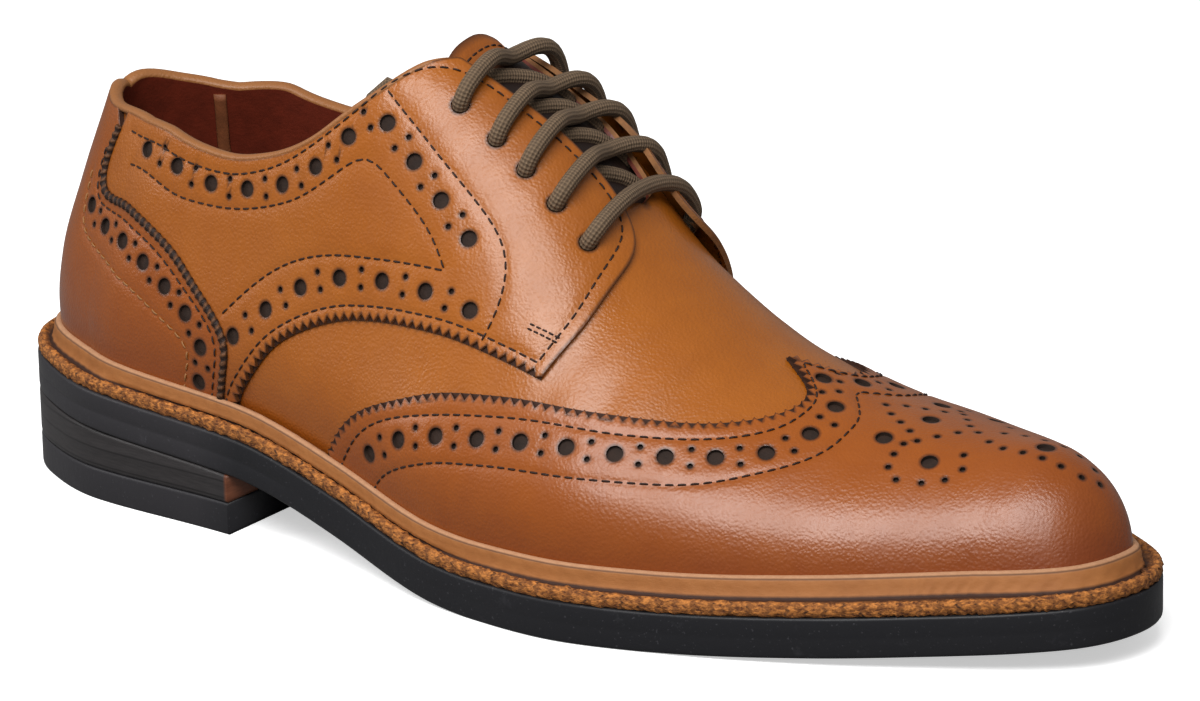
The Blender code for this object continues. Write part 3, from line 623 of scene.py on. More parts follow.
# Pattern lines, read off the shoe: along, share of the sole's length; down, share of the way from
# the ridge (0) to the sole (1), on the outer side.
COLLAR = [
    (0.042, 0.000), (0.046, 0.055), (0.060, 0.115), (0.090, 0.160), (0.120, 0.200),
    (0.168, 0.232), (0.223, 0.245), (0.265, 0.241), (0.310, 0.226), (0.350, 0.196),
    (0.385, 0.160), (0.423, 0.085),
]
INNER_COLLAR = [
    (0.042, 0.000), (0.047, 0.050), (0.064, 0.118), (0.090, 0.172), (0.119, 0.212),
    (0.168, 0.240), (0.223, 0.252), (0.265, 0.245), (0.310, 0.220), (0.350, 0.184),
    (0.385, 0.135), (0.423, 0.085),
]
FACING = [
    (0.423, 0.085), (0.455, 0.080), (0.497, 0.074), (0.545, 0.064), (0.562, 0.072),
    (0.573, 0.100), (0.577, 0.150), (0.575, 0.310), (0.558, 0.480),
]
THROAT_END = 4
UPPER_WALL = 1.8 * MM
BIG_HOLE = 3.9 * MM
SMALL_HOLE = 1.35 * MM
GROOVE_DEPTH = 0.30 * MM
GROOVE_WIDTH = 0.75 * MM
LATTICE = 1.7 * MM
GUARD = 1.5 * MM
HOLE_FLOOR = 0.45 * MM
FAR_FROM_EDGE = 20 * MM


def collar_line(side):
    return through(on_pattern(COLLAR if side < 0 else INNER_COLLAR, side))


def foot_arc(start, share, toe=True):
    """From a line's foot round the toe or the heel to the same place on the inner side."""
    radius = share * PATTERN_GIRTH
    centre = (FAN_TOE if toe else FAN_HEEL) * SOLE_LENGTH
    turns = np.linspace(-math.pi / 2, math.pi / 2, 160)
    ahead = np.cos(turns) * (1 if toe else -1)
    bend = np.stack([centre + ahead * radius, np.sin(turns) * radius], -1)
    run = np.arange(0, abs(centre - start), 2 * MM)
    leg = np.stack([start + run * (1 if toe else -1), np.full(len(run), -radius)], -1)
    return np.concatenate([leg, bend, leg[::-1] * (1, -1)])


def inside(points, outline):
    """Which points lie inside a closed outline, by counting crossings."""
    crossings = np.zeros(len(points), int)
    for a, b in zip(outline, np.roll(outline, -1, 0)):
        spans = (a[1] > points[:, 1]) != (b[1] > points[:, 1])
        rise = b[1] - a[1] if b[1] != a[1] else 1
        crossings += spans & (points[:, 0] < a[0] + (points[:, 1] - a[1]) / rise * (b[0] - a[0]))
    return crossings % 2 == 1


def within_hole(points, loop):
    near = ((points > loop.min(0)) & (points < loop.max(0))).all(1)
    found = np.zeros(len(points), bool)
    found[near] = inside(points[near], loop)
    return found


def round_hole(centres, diameter, sides):
    """Outlines of holes that are round on the surface, each a row of pattern points."""
    turns = np.linspace(0, 2 * math.pi, sides, endpoint=False)
    rows = np.repeat(centres, sides, 0)
    forward = np.tile(np.cos(turns), len(centres)) * diameter / 2
    sideways = np.tile(np.sin(turns), len(centres)) * diameter / 2
    return flat_step(rows, forward, sideways).reshape(len(centres), sides, 2)


def cut_sheet(outlines, openings, holes, rows, step=LATTICE):
    """A flat sheet inside its outline and outside its openings and holes.

    rows are lines of extra points, such as along a seam. Returns the pattern points, the
    triangles, and for each point the number of the outline (1 up) or hole (-1 down) it is on."""
    loops = [*outlines, *openings, *holes]
    marks = [k + 1 for k in range(len(outlines) + len(openings))]
    marks += [-k - 1 for k in range(len(holes))]
    fixed = np.concatenate(loops)
    labels = np.concatenate([np.full(len(loop), mark) for loop, mark in zip(loops, marks)])
    edges, start = [], 0
    for loop in loops:
        edges += [(start + i, start + (i + 1) % len(loop)) for i in range(len(loop))]
        start += len(loop)
    row_step = step * math.sqrt(3) / 2
    low, high = fixed.min(0), fixed.max(0)
    lattice = []
    for row in range(math.floor(low[1] / row_step), math.ceil(high[1] / row_step) + 1):
        shift = step / 2 * (row % 2)
        run = np.arange(math.floor(low[0] / step), math.ceil(high[0] / step) + 1) * step + shift
        lattice.append(np.stack([run, np.full(len(run), row * row_step)], -1))
    lattice = np.concatenate(lattice)
    line_points = np.concatenate(rows) if rows else np.zeros((0, 2))
    as_3d = np.pad(fixed, ((0, 0), (0, 1)))
    for loop in holes:
        lattice = lattice[~within_hole(lattice, loop)]
        line_points = line_points[~within_hole(line_points, loop)]
    if len(line_points):
        clear = distance_to(np.pad(line_points, ((0, 0), (0, 1))), as_3d) > 0.25 * MM
        line_points = line_points[clear & inside(line_points, outlines[0])]
        as_3d = np.concatenate([as_3d, np.pad(line_points, ((0, 0), (0, 1)))])
    lattice = lattice[inside(lattice, outlines[0])]
    clear = distance_to(np.pad(lattice, ((0, 0), (0, 1))), as_3d) > 0.45 * step
    everything = np.concatenate([fixed, line_points, lattice[clear]])
    labels = np.concatenate([labels, np.zeros(len(everything) - len(labels), int)])
    result = delaunay_2d_cdt([Vector(p) for p in everything / MM], edges, [], 0, 1e-4)
    flat = np.array([tuple(v) for v in result[0]]) * MM
    triangles = np.array([tuple(face) for face in result[2]])
    marks_out = np.array([labels[origin[0]] if origin else 0 for origin in result[3]])
    kept = inside(flat[triangles].mean(1), outlines[0])
    for opening in openings:
        kept &= ~inside(flat[triangles].mean(1), opening)
    corner = marks_out[triangles]
    kept &= ~((corner[:, 0] < 0) & (corner[:, 0] == corner[:, 1]) & (corner[:, 1] == corner[:, 2]))
    triangles = triangles[kept]
    used = np.unique(triangles)
    return flat[used], np.searchsorted(used, triangles), marks_out[used]


def border_of(triangles):
    """Directed edges with a triangle on one side only."""
    pairs = np.concatenate([triangles[:, [0, 1]], triangles[:, [1, 2]], triangles[:, [2, 0]]])
    seen = set(map(tuple, pairs))
    return [pair for pair in seen if (pair[1], pair[0]) not in seen]


def seam_rows(line, width=0.65 * MM, step=1.0 * MM):
    """Points along a seam and to its sides, so that its groove has a shape."""
    middle = evenly(line, step)
    return [middle, beside(middle, width), beside(middle, -width)]


FEATHER_LINE = 7 * MM
LOW_REACH = 13 * MM
LOW_TONE = 0.42
TOE_TONE = 0.22
HEEL_TONE = 0.15


def tone_of(points, base):
    """Darker low down, at the toe's end and up the heel, as the polish was rubbed."""
    height = points[:, 2] - floor_of(points[:, 0] + CENTRE_X)
    low = np.exp(-np.maximum(height - FEATHER_LINE, 0) / LOW_REACH)
    toe = ease((points[:, 0] - 0.085) / 0.06)
    heel = ease((-0.105 - points[:, 0]) / 0.05)
    return base + LOW_TONE * low + TOE_TONE * toe + HEEL_TONE * heel


def sheet(name, outline, top, bottom, leather_material, wall_material, openings=(),
          big=None, small=None, seams=(), tone=0.3, creases=None, step=LATTICE, edge_drop=0):
    """A leather piece laid on the last, with its cut edges, punched holes and seam grooves."""
    holes, guards = [], []
    for centres, diameter, sides in ((big, BIG_HOLE, 16), (small, SMALL_HOLE, 8)):
        if centres is not None and len(centres):
            holes.append(round_hole(np.asarray(centres), diameter, sides))
            guards += list(round_hole(np.asarray(centres), diameter + GUARD, sides))
    loops = [loop for group in holes for loop in group]
    closed_line = np.concatenate([outline, outline[:1]])
    guards += [beside(closed_line, GUARD / 2), beside(closed_line, -GUARD / 2)]
    rows = guards + [row for seam in seams for row in seam_rows(seam)]
    flat, triangles, marks = cut_sheet([outline], list(openings), loops, rows, step)
    surface, normal, _, _ = frame_at(flat)
    offset = np.full(len(flat), top)
    base = np.full(len(flat), bottom)
    if seams:
        seam_points = np.concatenate([skin(evenly(seam, 0.4 * MM)) for seam in seams])
        offset -= GROOVE_DEPTH * np.exp(-((distance_to(surface, seam_points) / GROOVE_WIDTH) ** 2))
    if creases is not None:
        offset += creases(surface)
        base += creases(surface)
    border = border_of(triangles)
    rim = np.unique(np.array(border))
    edge_distance = np.minimum(distance_to(surface, surface[rim]), FAR_FROM_EDGE)
    offset[rim] -= edge_drop
    count = len(flat)
    tops = surface + normal * offset[:, None]
    lower = np.full(count, -1)
    lower[rim] = count + np.arange(len(rim))
    bottoms = surface[rim] + normal[rim] * base[rim][:, None]
    faces = [tuple(face) for face in triangles]
    kinds = [0] * len(faces)
    for a, b in border:
        faces.append((lower[a], lower[b], b, a))
        kinds.append(2 if marks[a] < 0 and marks[b] < 0 else 1)
    points = [tops, bottoms]
    start = count + len(rim)
    # Each hole gets a near-black floor: painted shade in the hole.
    for group in holes:
        size = group.shape[1]
        floor_points = lay(group.reshape(-1, 2), bottom + HOLE_FLOOR)
        points.append(floor_points)
        for k in range(len(group)):
            faces.append(tuple(start + k * size + i for i in range(size)))
            kinds.append(2)
        start += len(floor_points)
    points = np.concatenate(points)
    made = mesh_piece(name, points, faces, [leather_material, wall_material, hole_floor_shade],
                      kinds)
    rest = len(points) - count
    give(made, "edge", np.concatenate([edge_distance, np.zeros(rest)]))
    give(made, "tone", np.concatenate([tone_of(tops, tone), np.full(rest, tone)]))
    sharp = made.data.attributes.new("sharp_edge", "BOOLEAN", "EDGE")
    border_keys = {tuple(sorted(map(int, pair))) for pair in border}
    ends = np.empty(len(made.data.edges) * 2, np.int32)
    made.data.edges.foreach_get("vertices", ends)
    ends = np.sort(ends.reshape(-1, 2), axis=1)
    sharp.data.foreach_set("value", np.array([tuple(pair) in border_keys for pair in ends.tolist()]))
    return made


def opening_half(side):
    facing = through(on_pattern(FACING[:THROAT_END], side))
    return np.concatenate([collar_line(side), facing[1:]])[::2]


throat_tip = on_pattern([(0.553, -0.040), (0.557, 0.000), (0.553, 0.040)], 1)
opening = np.concatenate([opening_half(-1), throat_tip, opening_half(1)[1:][::-1]])
middle_of_sole = 0.5 * SOLE_LENGTH
whole_outline = np.concatenate([
    foot_arc(middle_of_sole, 0.985), foot_arc(middle_of_sole, 0.985, toe=False)[1:-1][::-1],
])


# Folds: how far ahead of the middle in metres, depth and width in mm, slant.
CREASES = [(0.034, 0.35, 3.2, 0.25), (0.047, 0.28, 3.0, 0.1), (0.022, 0.22, 3.5, 0.35)]


def vamp_creases(points):
    """Soft folds across the ball, where the foot bends, deeper on the outer side."""
    x, y = points[:, 0], points[:, 1]
    lateral = ease((-y - 0.005) / 0.03)
    folds = np.zeros(len(points))
    for along, depth, width, slant in CREASES:
        position = x - along - slant * (y + 0.03)
        folds -= depth * MM * np.exp(-((position / (width * MM)) ** 2))
        folds += 0.5 * depth * MM * np.exp(-(((position - 6 * MM) / (width * MM)) ** 2))
    return folds * (0.35 + 0.65 * lateral)


VAMP_TOP = 0.15 * MM
vamp = sheet("vamp", whole_outline, VAMP_TOP, -UPPER_WALL / 2, vamp_leather, cut_tan,
             openings=[opening], tone=0.22, creases=vamp_creases)
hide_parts("upper")
lining = sheet("lining", whole_outline, -UPPER_WALL, -UPPER_WALL / 2, lining_leather,
               lining_leather, openings=[opening], step=3 * MM)
lining.data.flip_normals()
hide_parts("upper")

# A tape covers the lining's seam on each side of the heel.
LINING_SEAM = [(0.084, 0.168), (0.090, 0.400), (0.096, 0.620), (0.100, 0.800)]
TAPE_HALF_WIDTH = 1.6 * MM
TAPE_DEPTH = UPPER_WALL + 0.15 * MM
strip_parts = []
for side in (-1, 1):
    seam = evenly(through(on_pattern(LINING_SEAM, side)), 2 * MM)
    surface, normal, _, _ = frame_at(seam)
    strip_parts.append(tube(surface - normal * TAPE_DEPTH, TAPE_HALF_WIDTH, 10, 0.3, normal))
points, faces = joined(strip_parts)
mesh_piece("lining_seam_strip", points, faces, [
    plain("lining_tape", (0.22, 0.075, 0.028), 0.6, 1500.0, 0.4, 0.2)])

# The wing cap
# The toe piece, of calf sewn over the vamp: a pointed wing with pinked edges, two seams with a
# band of broguing between them, and the traditional medallion punched on the toe.
WING_EDGE = [
    (0.358, 0.960), (0.380, 0.785), (0.400, 0.700), (0.440, 0.625), (0.480, 0.575),
    (0.525, 0.553), (0.590, 0.541), (0.635, 0.510), (0.680, 0.446), (0.715, 0.330),
    (0.727, 0.200), (0.722, 0.110), (0.705, 0.045), (0.688, 0.000),
]
WING_TAN = (0.390, 0.112, 0.0090)
WING_BROWN = (0.215, 0.046, 0.0045)
wing_leather = leather("wing_leather", WING_TAN, WING_BROWN, EDGE_STAIN_AND_SHADE, 0.36, 0.30, 0.30, 0.0008)
# Dark-dyed cut leather for the pinked edges and the holes' walls; the same colour is painted shade
# in the strips between the teeth.
dark_cut_and_shade = plain("pinked_cut_and_shade", (0.045, 0.014, 0.005), 0.75, 1800.0, 0.5, 0.3)
thread_dark = plain("brown_thread", (0.030, 0.010, 0.005), 0.55, 3500.0, 0.6, 0.3)
PINK_PITCH = 2.6 * MM
PINK_DEPTH = 1.7 * MM
STRIP_RAISE = 0.55 * MM
STITCH_PITCH = 2.9 * MM
STITCH_LENGTH = 2.3 * MM
STITCH_RADIUS = 0.24 * MM
OVERLAY_TOP = 1.6 * MM
OVERLAY_FOOT = 0.1 * MM
EDGE_DROP = 0.15 * MM


def pinked(line):
    """A saw-tooth edge along a line."""
    points = evenly(line, PINK_PITCH / 2)
    shift = np.where(np.arange(len(points)) % 2, PINK_DEPTH / 2, -PINK_DEPTH / 2)
    shift[[0, -1]] = 0
    return beside(points, shift)


def shaded_strip(name, lines):
    """Painted shade between the teeth: a thin dark strip under a pinked edge."""
    parts = []
    for line in lines:
        middle = evenly(line, 0.8 * MM)
        inner_side, outer_side = beside(middle, PINK_DEPTH / 2), beside(middle, -PINK_DEPTH / 2)
        rows = [lay(inner_side, STRIP_RAISE), lay(middle, STRIP_RAISE + 0.1 * MM),
                lay(outer_side, STRIP_RAISE), lay(outer_side, 0.0)]
        count = len(middle)
        faces = [(k * count + i, (k + 1) * count + i, (k + 1) * count + i + 1, k * count + i + 1)
                 for k in range(3) for i in range(count - 1)]
        parts.append((np.concatenate(rows), faces))
    points, faces = joined(parts)
    made = mesh_piece(name, points, faces, [dark_cut_and_shade])
    drawn = bmesh.new()
    drawn.from_mesh(made.data)
    bmesh.ops.recalc_face_normals(drawn, faces=drawn.faces)
    drawn.to_mesh(made.data)
    drawn.free()


def stitches(name, seams, top, material, pitch=STITCH_PITCH, length=STITCH_LENGTH,
             radius=STITCH_RADIUS, lift_of=None):
    """Lockstitches along seams, each a short thread whose ends dive into the leather."""
    along_stitch = np.array([0.0, 0.12, 0.35, 0.65, 0.88, 1.0])
    lift = np.array([-0.55, -0.05, 0.10, 0.10, -0.05, -0.55]) * MM
    thick = np.array([0.55, 0.95, 1.0, 1.0, 0.95, 0.55]) * radius
    parts = []
    rings, sides = len(along_stitch), 6
    for seam in seams:
        ends = evenly(seam, pitch)
        starts, steps = ends[:-1], np.diff(ends, axis=0) * (length / pitch)
        rows = (starts[:, None] + steps[:, None] * along_stitch[None, :, None]).reshape(-1, 2)
        surface, normal, _, _ = frame_at(rows)
        count = len(starts)
        lifts = np.tile(lift, count)[:, None]
        if lift_of is not None:
            lifts = lifts + lift_of(surface)[:, None]
        middle = surface + normal * (top - GROOVE_DEPTH + radius * 0.6 + lifts)
        middle = middle.reshape(count, rings, 3)
        normal = normal.reshape(count, rings, 3)
        ahead = middle[:, -1] - middle[:, 0]
        ahead /= np.linalg.norm(ahead, axis=1)[:, None]
        aside = np.cross(ahead[:, None], normal)
        aside /= np.linalg.norm(aside, axis=2)[..., None]
        turns = np.linspace(0, 2 * math.pi, sides, endpoint=False)
        ring = (
            middle[:, :, None]
            + thick[None, :, None, None] * np.cos(turns)[None, None, :, None] * aside[:, :, None]
            + thick[None, :, None, None] * np.sin(turns)[None, None, :, None] * normal[:, :, None]
        )
        faces = []
        for s in range(count):
            base = s * rings * sides
            for i in range(rings - 1):
                for k in range(sides):
                    n = (k + 1) % sides
                    a, b = base + i * sides, base + (i + 1) * sides
                    faces.append((a + k, b + k, b + n, a + n))
            faces.append(tuple(base + k for k in range(sides)))
            faces.append(tuple(base + (rings - 1) * sides + k for k in reversed(range(sides))))
        parts.append((ring.reshape(-1, 3), faces))
    points, faces = joined(parts)
    return mesh_piece(name, points, faces, [material])


def beside_points(line, points, distance):
    """Points of a line moved to its left, on the surface."""
    moved = beside(line, distance)
    nearest = [int(np.argmin(((line - point) ** 2).sum(1))) for point in points]
    return moved[nearest]


def broguing(line, gaps, spread=2.1 * MM):
    """Along a band: big holes at both ends and evenly between, with a pair of small ones,
    above and below, in each of the gaps."""
    at = evenly(line, 0, 2 * gaps)
    big, between = at[::2], at[1::2]
    return big, np.concatenate([beside_points(line, between, spread),
                                beside_points(line, between, -spread)])


wing_side = {side: through(on_pattern(WING_EDGE, side)) for side in (-1, 1)}
wing_front = np.concatenate([wing_side[-1], wing_side[1][::-1][1:]])
foot = foot_arc(wing_side[-1][0, 0], 0.96)
wing_outline = np.concatenate([pinked(wing_front), foot[1:-1][::-1]])
WING_UPPER_SEAM = [
    (0.374, 0.950), (0.386, 0.850), (0.402, 0.753), (0.423, 0.691), (0.457, 0.643), (0.518, 0.597),
    (0.568, 0.584), (0.609, 0.576), (0.652, 0.542), (0.680, 0.503), (0.706, 0.447), (0.729, 0.325),
    (0.733, 0.184), (0.722, 0.090), (0.702, 0.010), (0.698, 0.000),
]
WING_LOWER_SEAM = [
    (0.412, 0.950), (0.422, 0.870), (0.436, 0.815), (0.463, 0.764), (0.495, 0.727), (0.539, 0.711),
    (0.593, 0.707), (0.640, 0.688), (0.694, 0.642), (0.726, 0.571), (0.754, 0.468), (0.766, 0.356),
    (0.768, 0.198), (0.755, 0.070), (0.744, 0.000),
]
WING_GAPS = 24
WING_HOLES = [
    (0.416, 0.791), (0.436, 0.735), (0.457, 0.698), (0.500, 0.660), (0.542, 0.646),
    (0.585, 0.634), (0.626, 0.621), (0.661, 0.589), (0.697, 0.545), (0.729, 0.475), (0.747, 0.320),
    (0.750, 0.200), (0.738, 0.100), (0.718, 0.015), (0.716, 0.000),
]


def both_halves(line):
    """A line of the outer side, carried over the ridge to the inner side."""
    half = {side: through(on_pattern(line, side)) for side in (-1, 1)}
    return np.concatenate([half[-1], half[1][::-1][1:]])


wing_seams = [both_halves(WING_UPPER_SEAM), both_halves(WING_LOWER_SEAM)]
wing_big, wing_small = broguing(both_halves(WING_HOLES), WING_GAPS)

# The medallion: a kite, a curl on each side of it and a lens in front, each drawn in small holes
# round a big one. Its middle line runs a little to the inner side of the ridge.
MEDALLION_SHIFT = 0.005
MEDALLION_BIG = [(0.808, 0.000), (0.835, 0.312), (0.793, 0.245)]
MEDALLION_TIP = [(0.958, 0.000)]
KITE = [
    (0.770, 0.000), (0.781, 0.062), (0.793, 0.104), (0.805, 0.150), (0.816, 0.205),
    (0.826, 0.135), (0.836, 0.055), (0.851, 0.000),
]
CURL = [
    (0.809, 0.248), (0.808, 0.324), (0.810, 0.400), (0.820, 0.451), (0.838, 0.434),
    (0.862, 0.384), (0.879, 0.300), (0.866, 0.216),
]
LENS = [
    (0.883, 0.070), (0.912, 0.100), (0.942, 0.095), (0.968, 0.090), (0.992, 0.078),
    (1.018, 0.055), (1.036, 0.000),
]


def mirrored(line):
    """Holes on both sides of the medallion's middle line; those on it are made once."""
    shifted = []
    for along, out in line:
        shifted.append((along, -out + MEDALLION_SHIFT))
        if out > 0:
            shifted.append((along, out + MEDALLION_SHIFT))
    return on_pattern(shifted, 1)


medallion_big = np.concatenate([mirrored(MEDALLION_BIG), on_pattern(MEDALLION_TIP, 1)])
medallion_small = np.concatenate([mirrored(line) for line in (KITE, CURL, LENS)])
wing = sheet(
    "wing_leather", wing_outline, OVERLAY_TOP, OVERLAY_FOOT, wing_leather, dark_cut_and_shade,
    big=np.concatenate([wing_big, medallion_big]),
    small=np.concatenate([wing_small, medallion_small]),
    seams=wing_seams, tone=0.30, edge_drop=EDGE_DROP,
)
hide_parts("wing_cap")
stitches("wing_stitches", wing_seams, OVERLAY_TOP, thread_dark)
# A dark strip under the wing's teeth: painted shade between them.
shaded_strip("wing_teeth_shade", [wing_side[-1], wing_side[1]])

# The counter
# A calf piece sewn round the heel, over the vamp's back. Its pinked front edges sweep up from the
# sole to the collar, with a band of broguing behind them.
COUNTER_EDGE = [
    (0.077, 0.150), (0.070, 0.170), (0.060, 0.195), (0.067, 0.240), (0.100, 0.290),
    (0.142, 0.350), (0.184, 0.415), (0.213, 0.490), (0.240, 0.570), (0.256, 0.660),
    (0.252, 0.780), (0.243, 0.960),
]
counter_leather = leather("counter_leather", WING_TAN, WING_BROWN, EDGE_STAIN_AND_SHADE, 0.34, 0.42, 0.32,
                          0.0008)
thread_tan = plain("tan_thread", (0.32, 0.15, 0.05), 0.55, 3500.0, 0.6, 0.2)
counter_side = {side: through(on_pattern(COUNTER_EDGE, side)) for side in (-1, 1)}
counter_top = {}
for side in (-1, 1):
    collar = collar_line(side)
    drop = np.abs(counter_side[side][:, 1]) - np.interp(
        counter_side[side][:, 0], collar[:, 0], np.abs(collar[:, 1]))
    low_enough = (drop > 1.5 * MM) | (counter_side[side][:, 0] > 0.1 * SOLE_LENGTH)
    counter_side[side] = counter_side[side][low_enough]
    counter_top[side] = collar[collar[:, 0] < counter_side[side][0, 0] - 1.5 * MM]
heel_foot = foot_arc(counter_side[-1][-1, 0], 0.96, toe=False)
counter_outline = np.concatenate([
    counter_top[-1][::-2], counter_top[1][1::2], pinked(counter_side[1]), heel_foot[1:-1][::-1],
    pinked(counter_side[-1])[::-1],
])
COUNTER_SEAM = [
    (0.044, 0.170), (0.036, 0.215), (0.034, 0.260), (0.052, 0.330), (0.077, 0.390),
    (0.112, 0.458), (0.148, 0.525), (0.188, 0.612), (0.211, 0.665), (0.218, 0.700),
    (0.212, 0.800), (0.206, 0.950),
]
COUNTER_OUTER_SEAM = [
    (0.062, 0.165), (0.052, 0.195), (0.058, 0.243), (0.091, 0.302), (0.132, 0.362),
    (0.173, 0.428), (0.203, 0.500), (0.230, 0.578), (0.246, 0.665), (0.242, 0.785),
    (0.234, 0.950),
]
COUNTER_GAPS = 7
COUNTER_HOLES = [
    (0.050, 0.246), (0.066, 0.300), (0.090, 0.340), (0.132, 0.405),
    (0.168, 0.472), (0.205, 0.557), (0.226, 0.640), (0.232, 0.720), (0.226, 0.814),
]


def on_both(line):
    return [through(on_pattern(line, side)) for side in (-1, 1)]


counter_seams = on_both(COUNTER_OUTER_SEAM) + on_both(COUNTER_SEAM)
counter_holes = [broguing(line, COUNTER_GAPS) for line in on_both(COUNTER_HOLES)]
counter = sheet(
    "counter_leather", counter_outline, OVERLAY_TOP, OVERLAY_FOOT, counter_leather,
    dark_cut_and_shade, big=np.concatenate([pair[0] for pair in counter_holes]),
    small=np.concatenate([pair[1] for pair in counter_holes]), seams=counter_seams, tone=0.38,
    edge_drop=EDGE_DROP,
)
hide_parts("heel_counter")
stitches("counter_dark_stitches", on_both(COUNTER_OUTER_SEAM), OVERLAY_TOP,
         thread_dark)
stitches("counter_tan_stitches", on_both(COUNTER_SEAM), OVERLAY_TOP, thread_tan)

# The quarters
# The calf side pieces that carry the eyelets: open lacing over the vamp, a brogued band under the
# collar and another along the pinked lower edge. A bar tack holds each facing's foot.
QUARTER_EDGE = [
    (0.558, 0.480), (0.516, 0.457), (0.470, 0.446), (0.425, 0.448), (0.380, 0.466),
    (0.343, 0.510), (0.305, 0.595), (0.281, 0.720), (0.264, 0.840), (0.258, 0.960),
]
quarter_leather = leather("quarter_leather", VAMP_TAN, VAMP_BROWN, EDGE_STAIN_AND_SHADE, 0.37, 0.32, 0.32,
                          0.0008)
EYELETS = [(0.440, 0.142), (0.472, 0.154), (0.498, 0.166), (0.524, 0.178), (0.551, 0.192)]
EYELET_HOLE = 4.4 * MM
COLLAR_HOLES = [
    (0.114, 0.221), (0.153, 0.255), (0.192, 0.276), (0.233, 0.283), (0.280, 0.278),
    (0.315, 0.260), (0.348, 0.230), (0.381, 0.186), (0.415, 0.218), (0.444, 0.252),
    (0.477, 0.293),
]
COLLAR_SEAM = [
    (0.098, 0.226), (0.132, 0.268), (0.170, 0.301), (0.235, 0.312), (0.299, 0.297),
    (0.345, 0.262), (0.379, 0.231), (0.405, 0.252), (0.437, 0.287), (0.453, 0.313),
    (0.464, 0.348),
]
FACING_SEAM = [
    (0.384, 0.164), (0.412, 0.184), (0.438, 0.208), (0.481, 0.248), (0.504, 0.278),
    (0.513, 0.315), (0.513, 0.380), (0.505, 0.448),
]
LOWER_SEAM = [
    (0.247, 0.550), (0.265, 0.480), (0.290, 0.417), (0.325, 0.380), (0.365, 0.362),
    (0.415, 0.352), (0.464, 0.348),
]
COLLAR_GAPS = 10
LOWER_GAPS = 6
LOWER_HOLES = [
    (0.262, 0.612), (0.292, 0.511), (0.331, 0.428), (0.374, 0.395),
    (0.415, 0.385), (0.455, 0.386), (0.491, 0.397),
]
TOPLINE_SEAM = [
    (0.089, 0.177), (0.119, 0.217), (0.168, 0.252), (0.223, 0.264), (0.265, 0.256),
    (0.312, 0.232), (0.353, 0.199), (0.389, 0.152), (0.420, 0.108), (0.438, 0.096),
    (0.497, 0.091), (0.545, 0.081), (0.560, 0.090), (0.565, 0.110), (0.567, 0.160),
    (0.566, 0.310), (0.552, 0.455),
]
EDGE_SEAM = [
    (0.552, 0.455), (0.516, 0.436), (0.470, 0.425), (0.425, 0.427), (0.376, 0.445),
    (0.334, 0.493), (0.297, 0.583), (0.272, 0.715), (0.255, 0.840), (0.250, 0.950),
]
BAR_TACK = [(0.537, 0.396), (0.549, 0.399), (0.561, 0.402)]
FACING_LIFT = 2.6 * MM
STAND_REACH = 9 * MM
for side, word in ((-1, "lateral"), (1, "medial")):
    collar = collar_line(side)
    counter_line = counter_side[side]
    top = collar[collar[:, 0] > counter_line[0, 0] + 1.5 * MM]
    facing = through(on_pattern(FACING, side))
    quarter_outline = np.concatenate([
        (counter_line + (0.9 * MM, 0))[::-2], top[::2], facing[1::2],
        pinked(through(on_pattern(QUARTER_EDGE, side)))[1:],
    ])
    gap_edge = skin(through(on_pattern(FACING[1:8], side)))

    def stands_up(points):
        """How far the inner facing stands off the vamp: most at the front of the gap."""
        near = np.exp(-((distance_to(points, gap_edge) / STAND_REACH) ** 2))
        ahead = ease((points[:, 0] + 0.012) / 0.022) * ease((0.030 - points[:, 0]) / 0.012 + 0.3)
        low = ease((0.075 - np.abs(points[:, 1])) / 0.02)
        return FACING_LIFT * near * (0.25 + 0.75 * ahead) * low

    seams = [through(on_pattern(line, side)) for line in
             (COLLAR_SEAM, FACING_SEAM, LOWER_SEAM, TOPLINE_SEAM, EDGE_SEAM)]
    rows = [broguing(through(on_pattern(line, side)), gaps)
            for line, gaps in ((COLLAR_HOLES, COLLAR_GAPS), (LOWER_HOLES, LOWER_GAPS))]
    eyelet_loops = round_hole(on_pattern(EYELETS, side), EYELET_HOLE, 16)
    quarter = sheet(
        f"quarter_leather_{word}", quarter_outline, OVERLAY_TOP, OVERLAY_FOOT,
        quarter_leather, cut_tan, openings=list(eyelet_loops),
        big=np.concatenate([pair[0] for pair in rows]),
        small=np.concatenate([pair[1] for pair in rows]), seams=seams, tone=0.25,
        edge_drop=EDGE_DROP, creases=stands_up if side > 0 else None,
    )
    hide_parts(f"quarter_{word}")
    stitches(f"quarter_stitches_{word}", seams, OVERLAY_TOP, thread_dark,
             lift_of=stands_up if side > 0 else None)
    # A dark strip under the quarter's teeth: painted shade between them.
    shaded_strip(f"quarter_raw_edge_{word}", [through(on_pattern(QUARTER_EDGE, side))])
    tack = evenly(through(on_pattern(BAR_TACK, side)), 1.6 * MM)
    stitches(f"bar_tack_{word}", [tack, beside(tack, 1.2 * MM)], OVERLAY_TOP + 0.1 * MM,
             thread_dark, pitch=1.6 * MM, length=1.5 * MM)

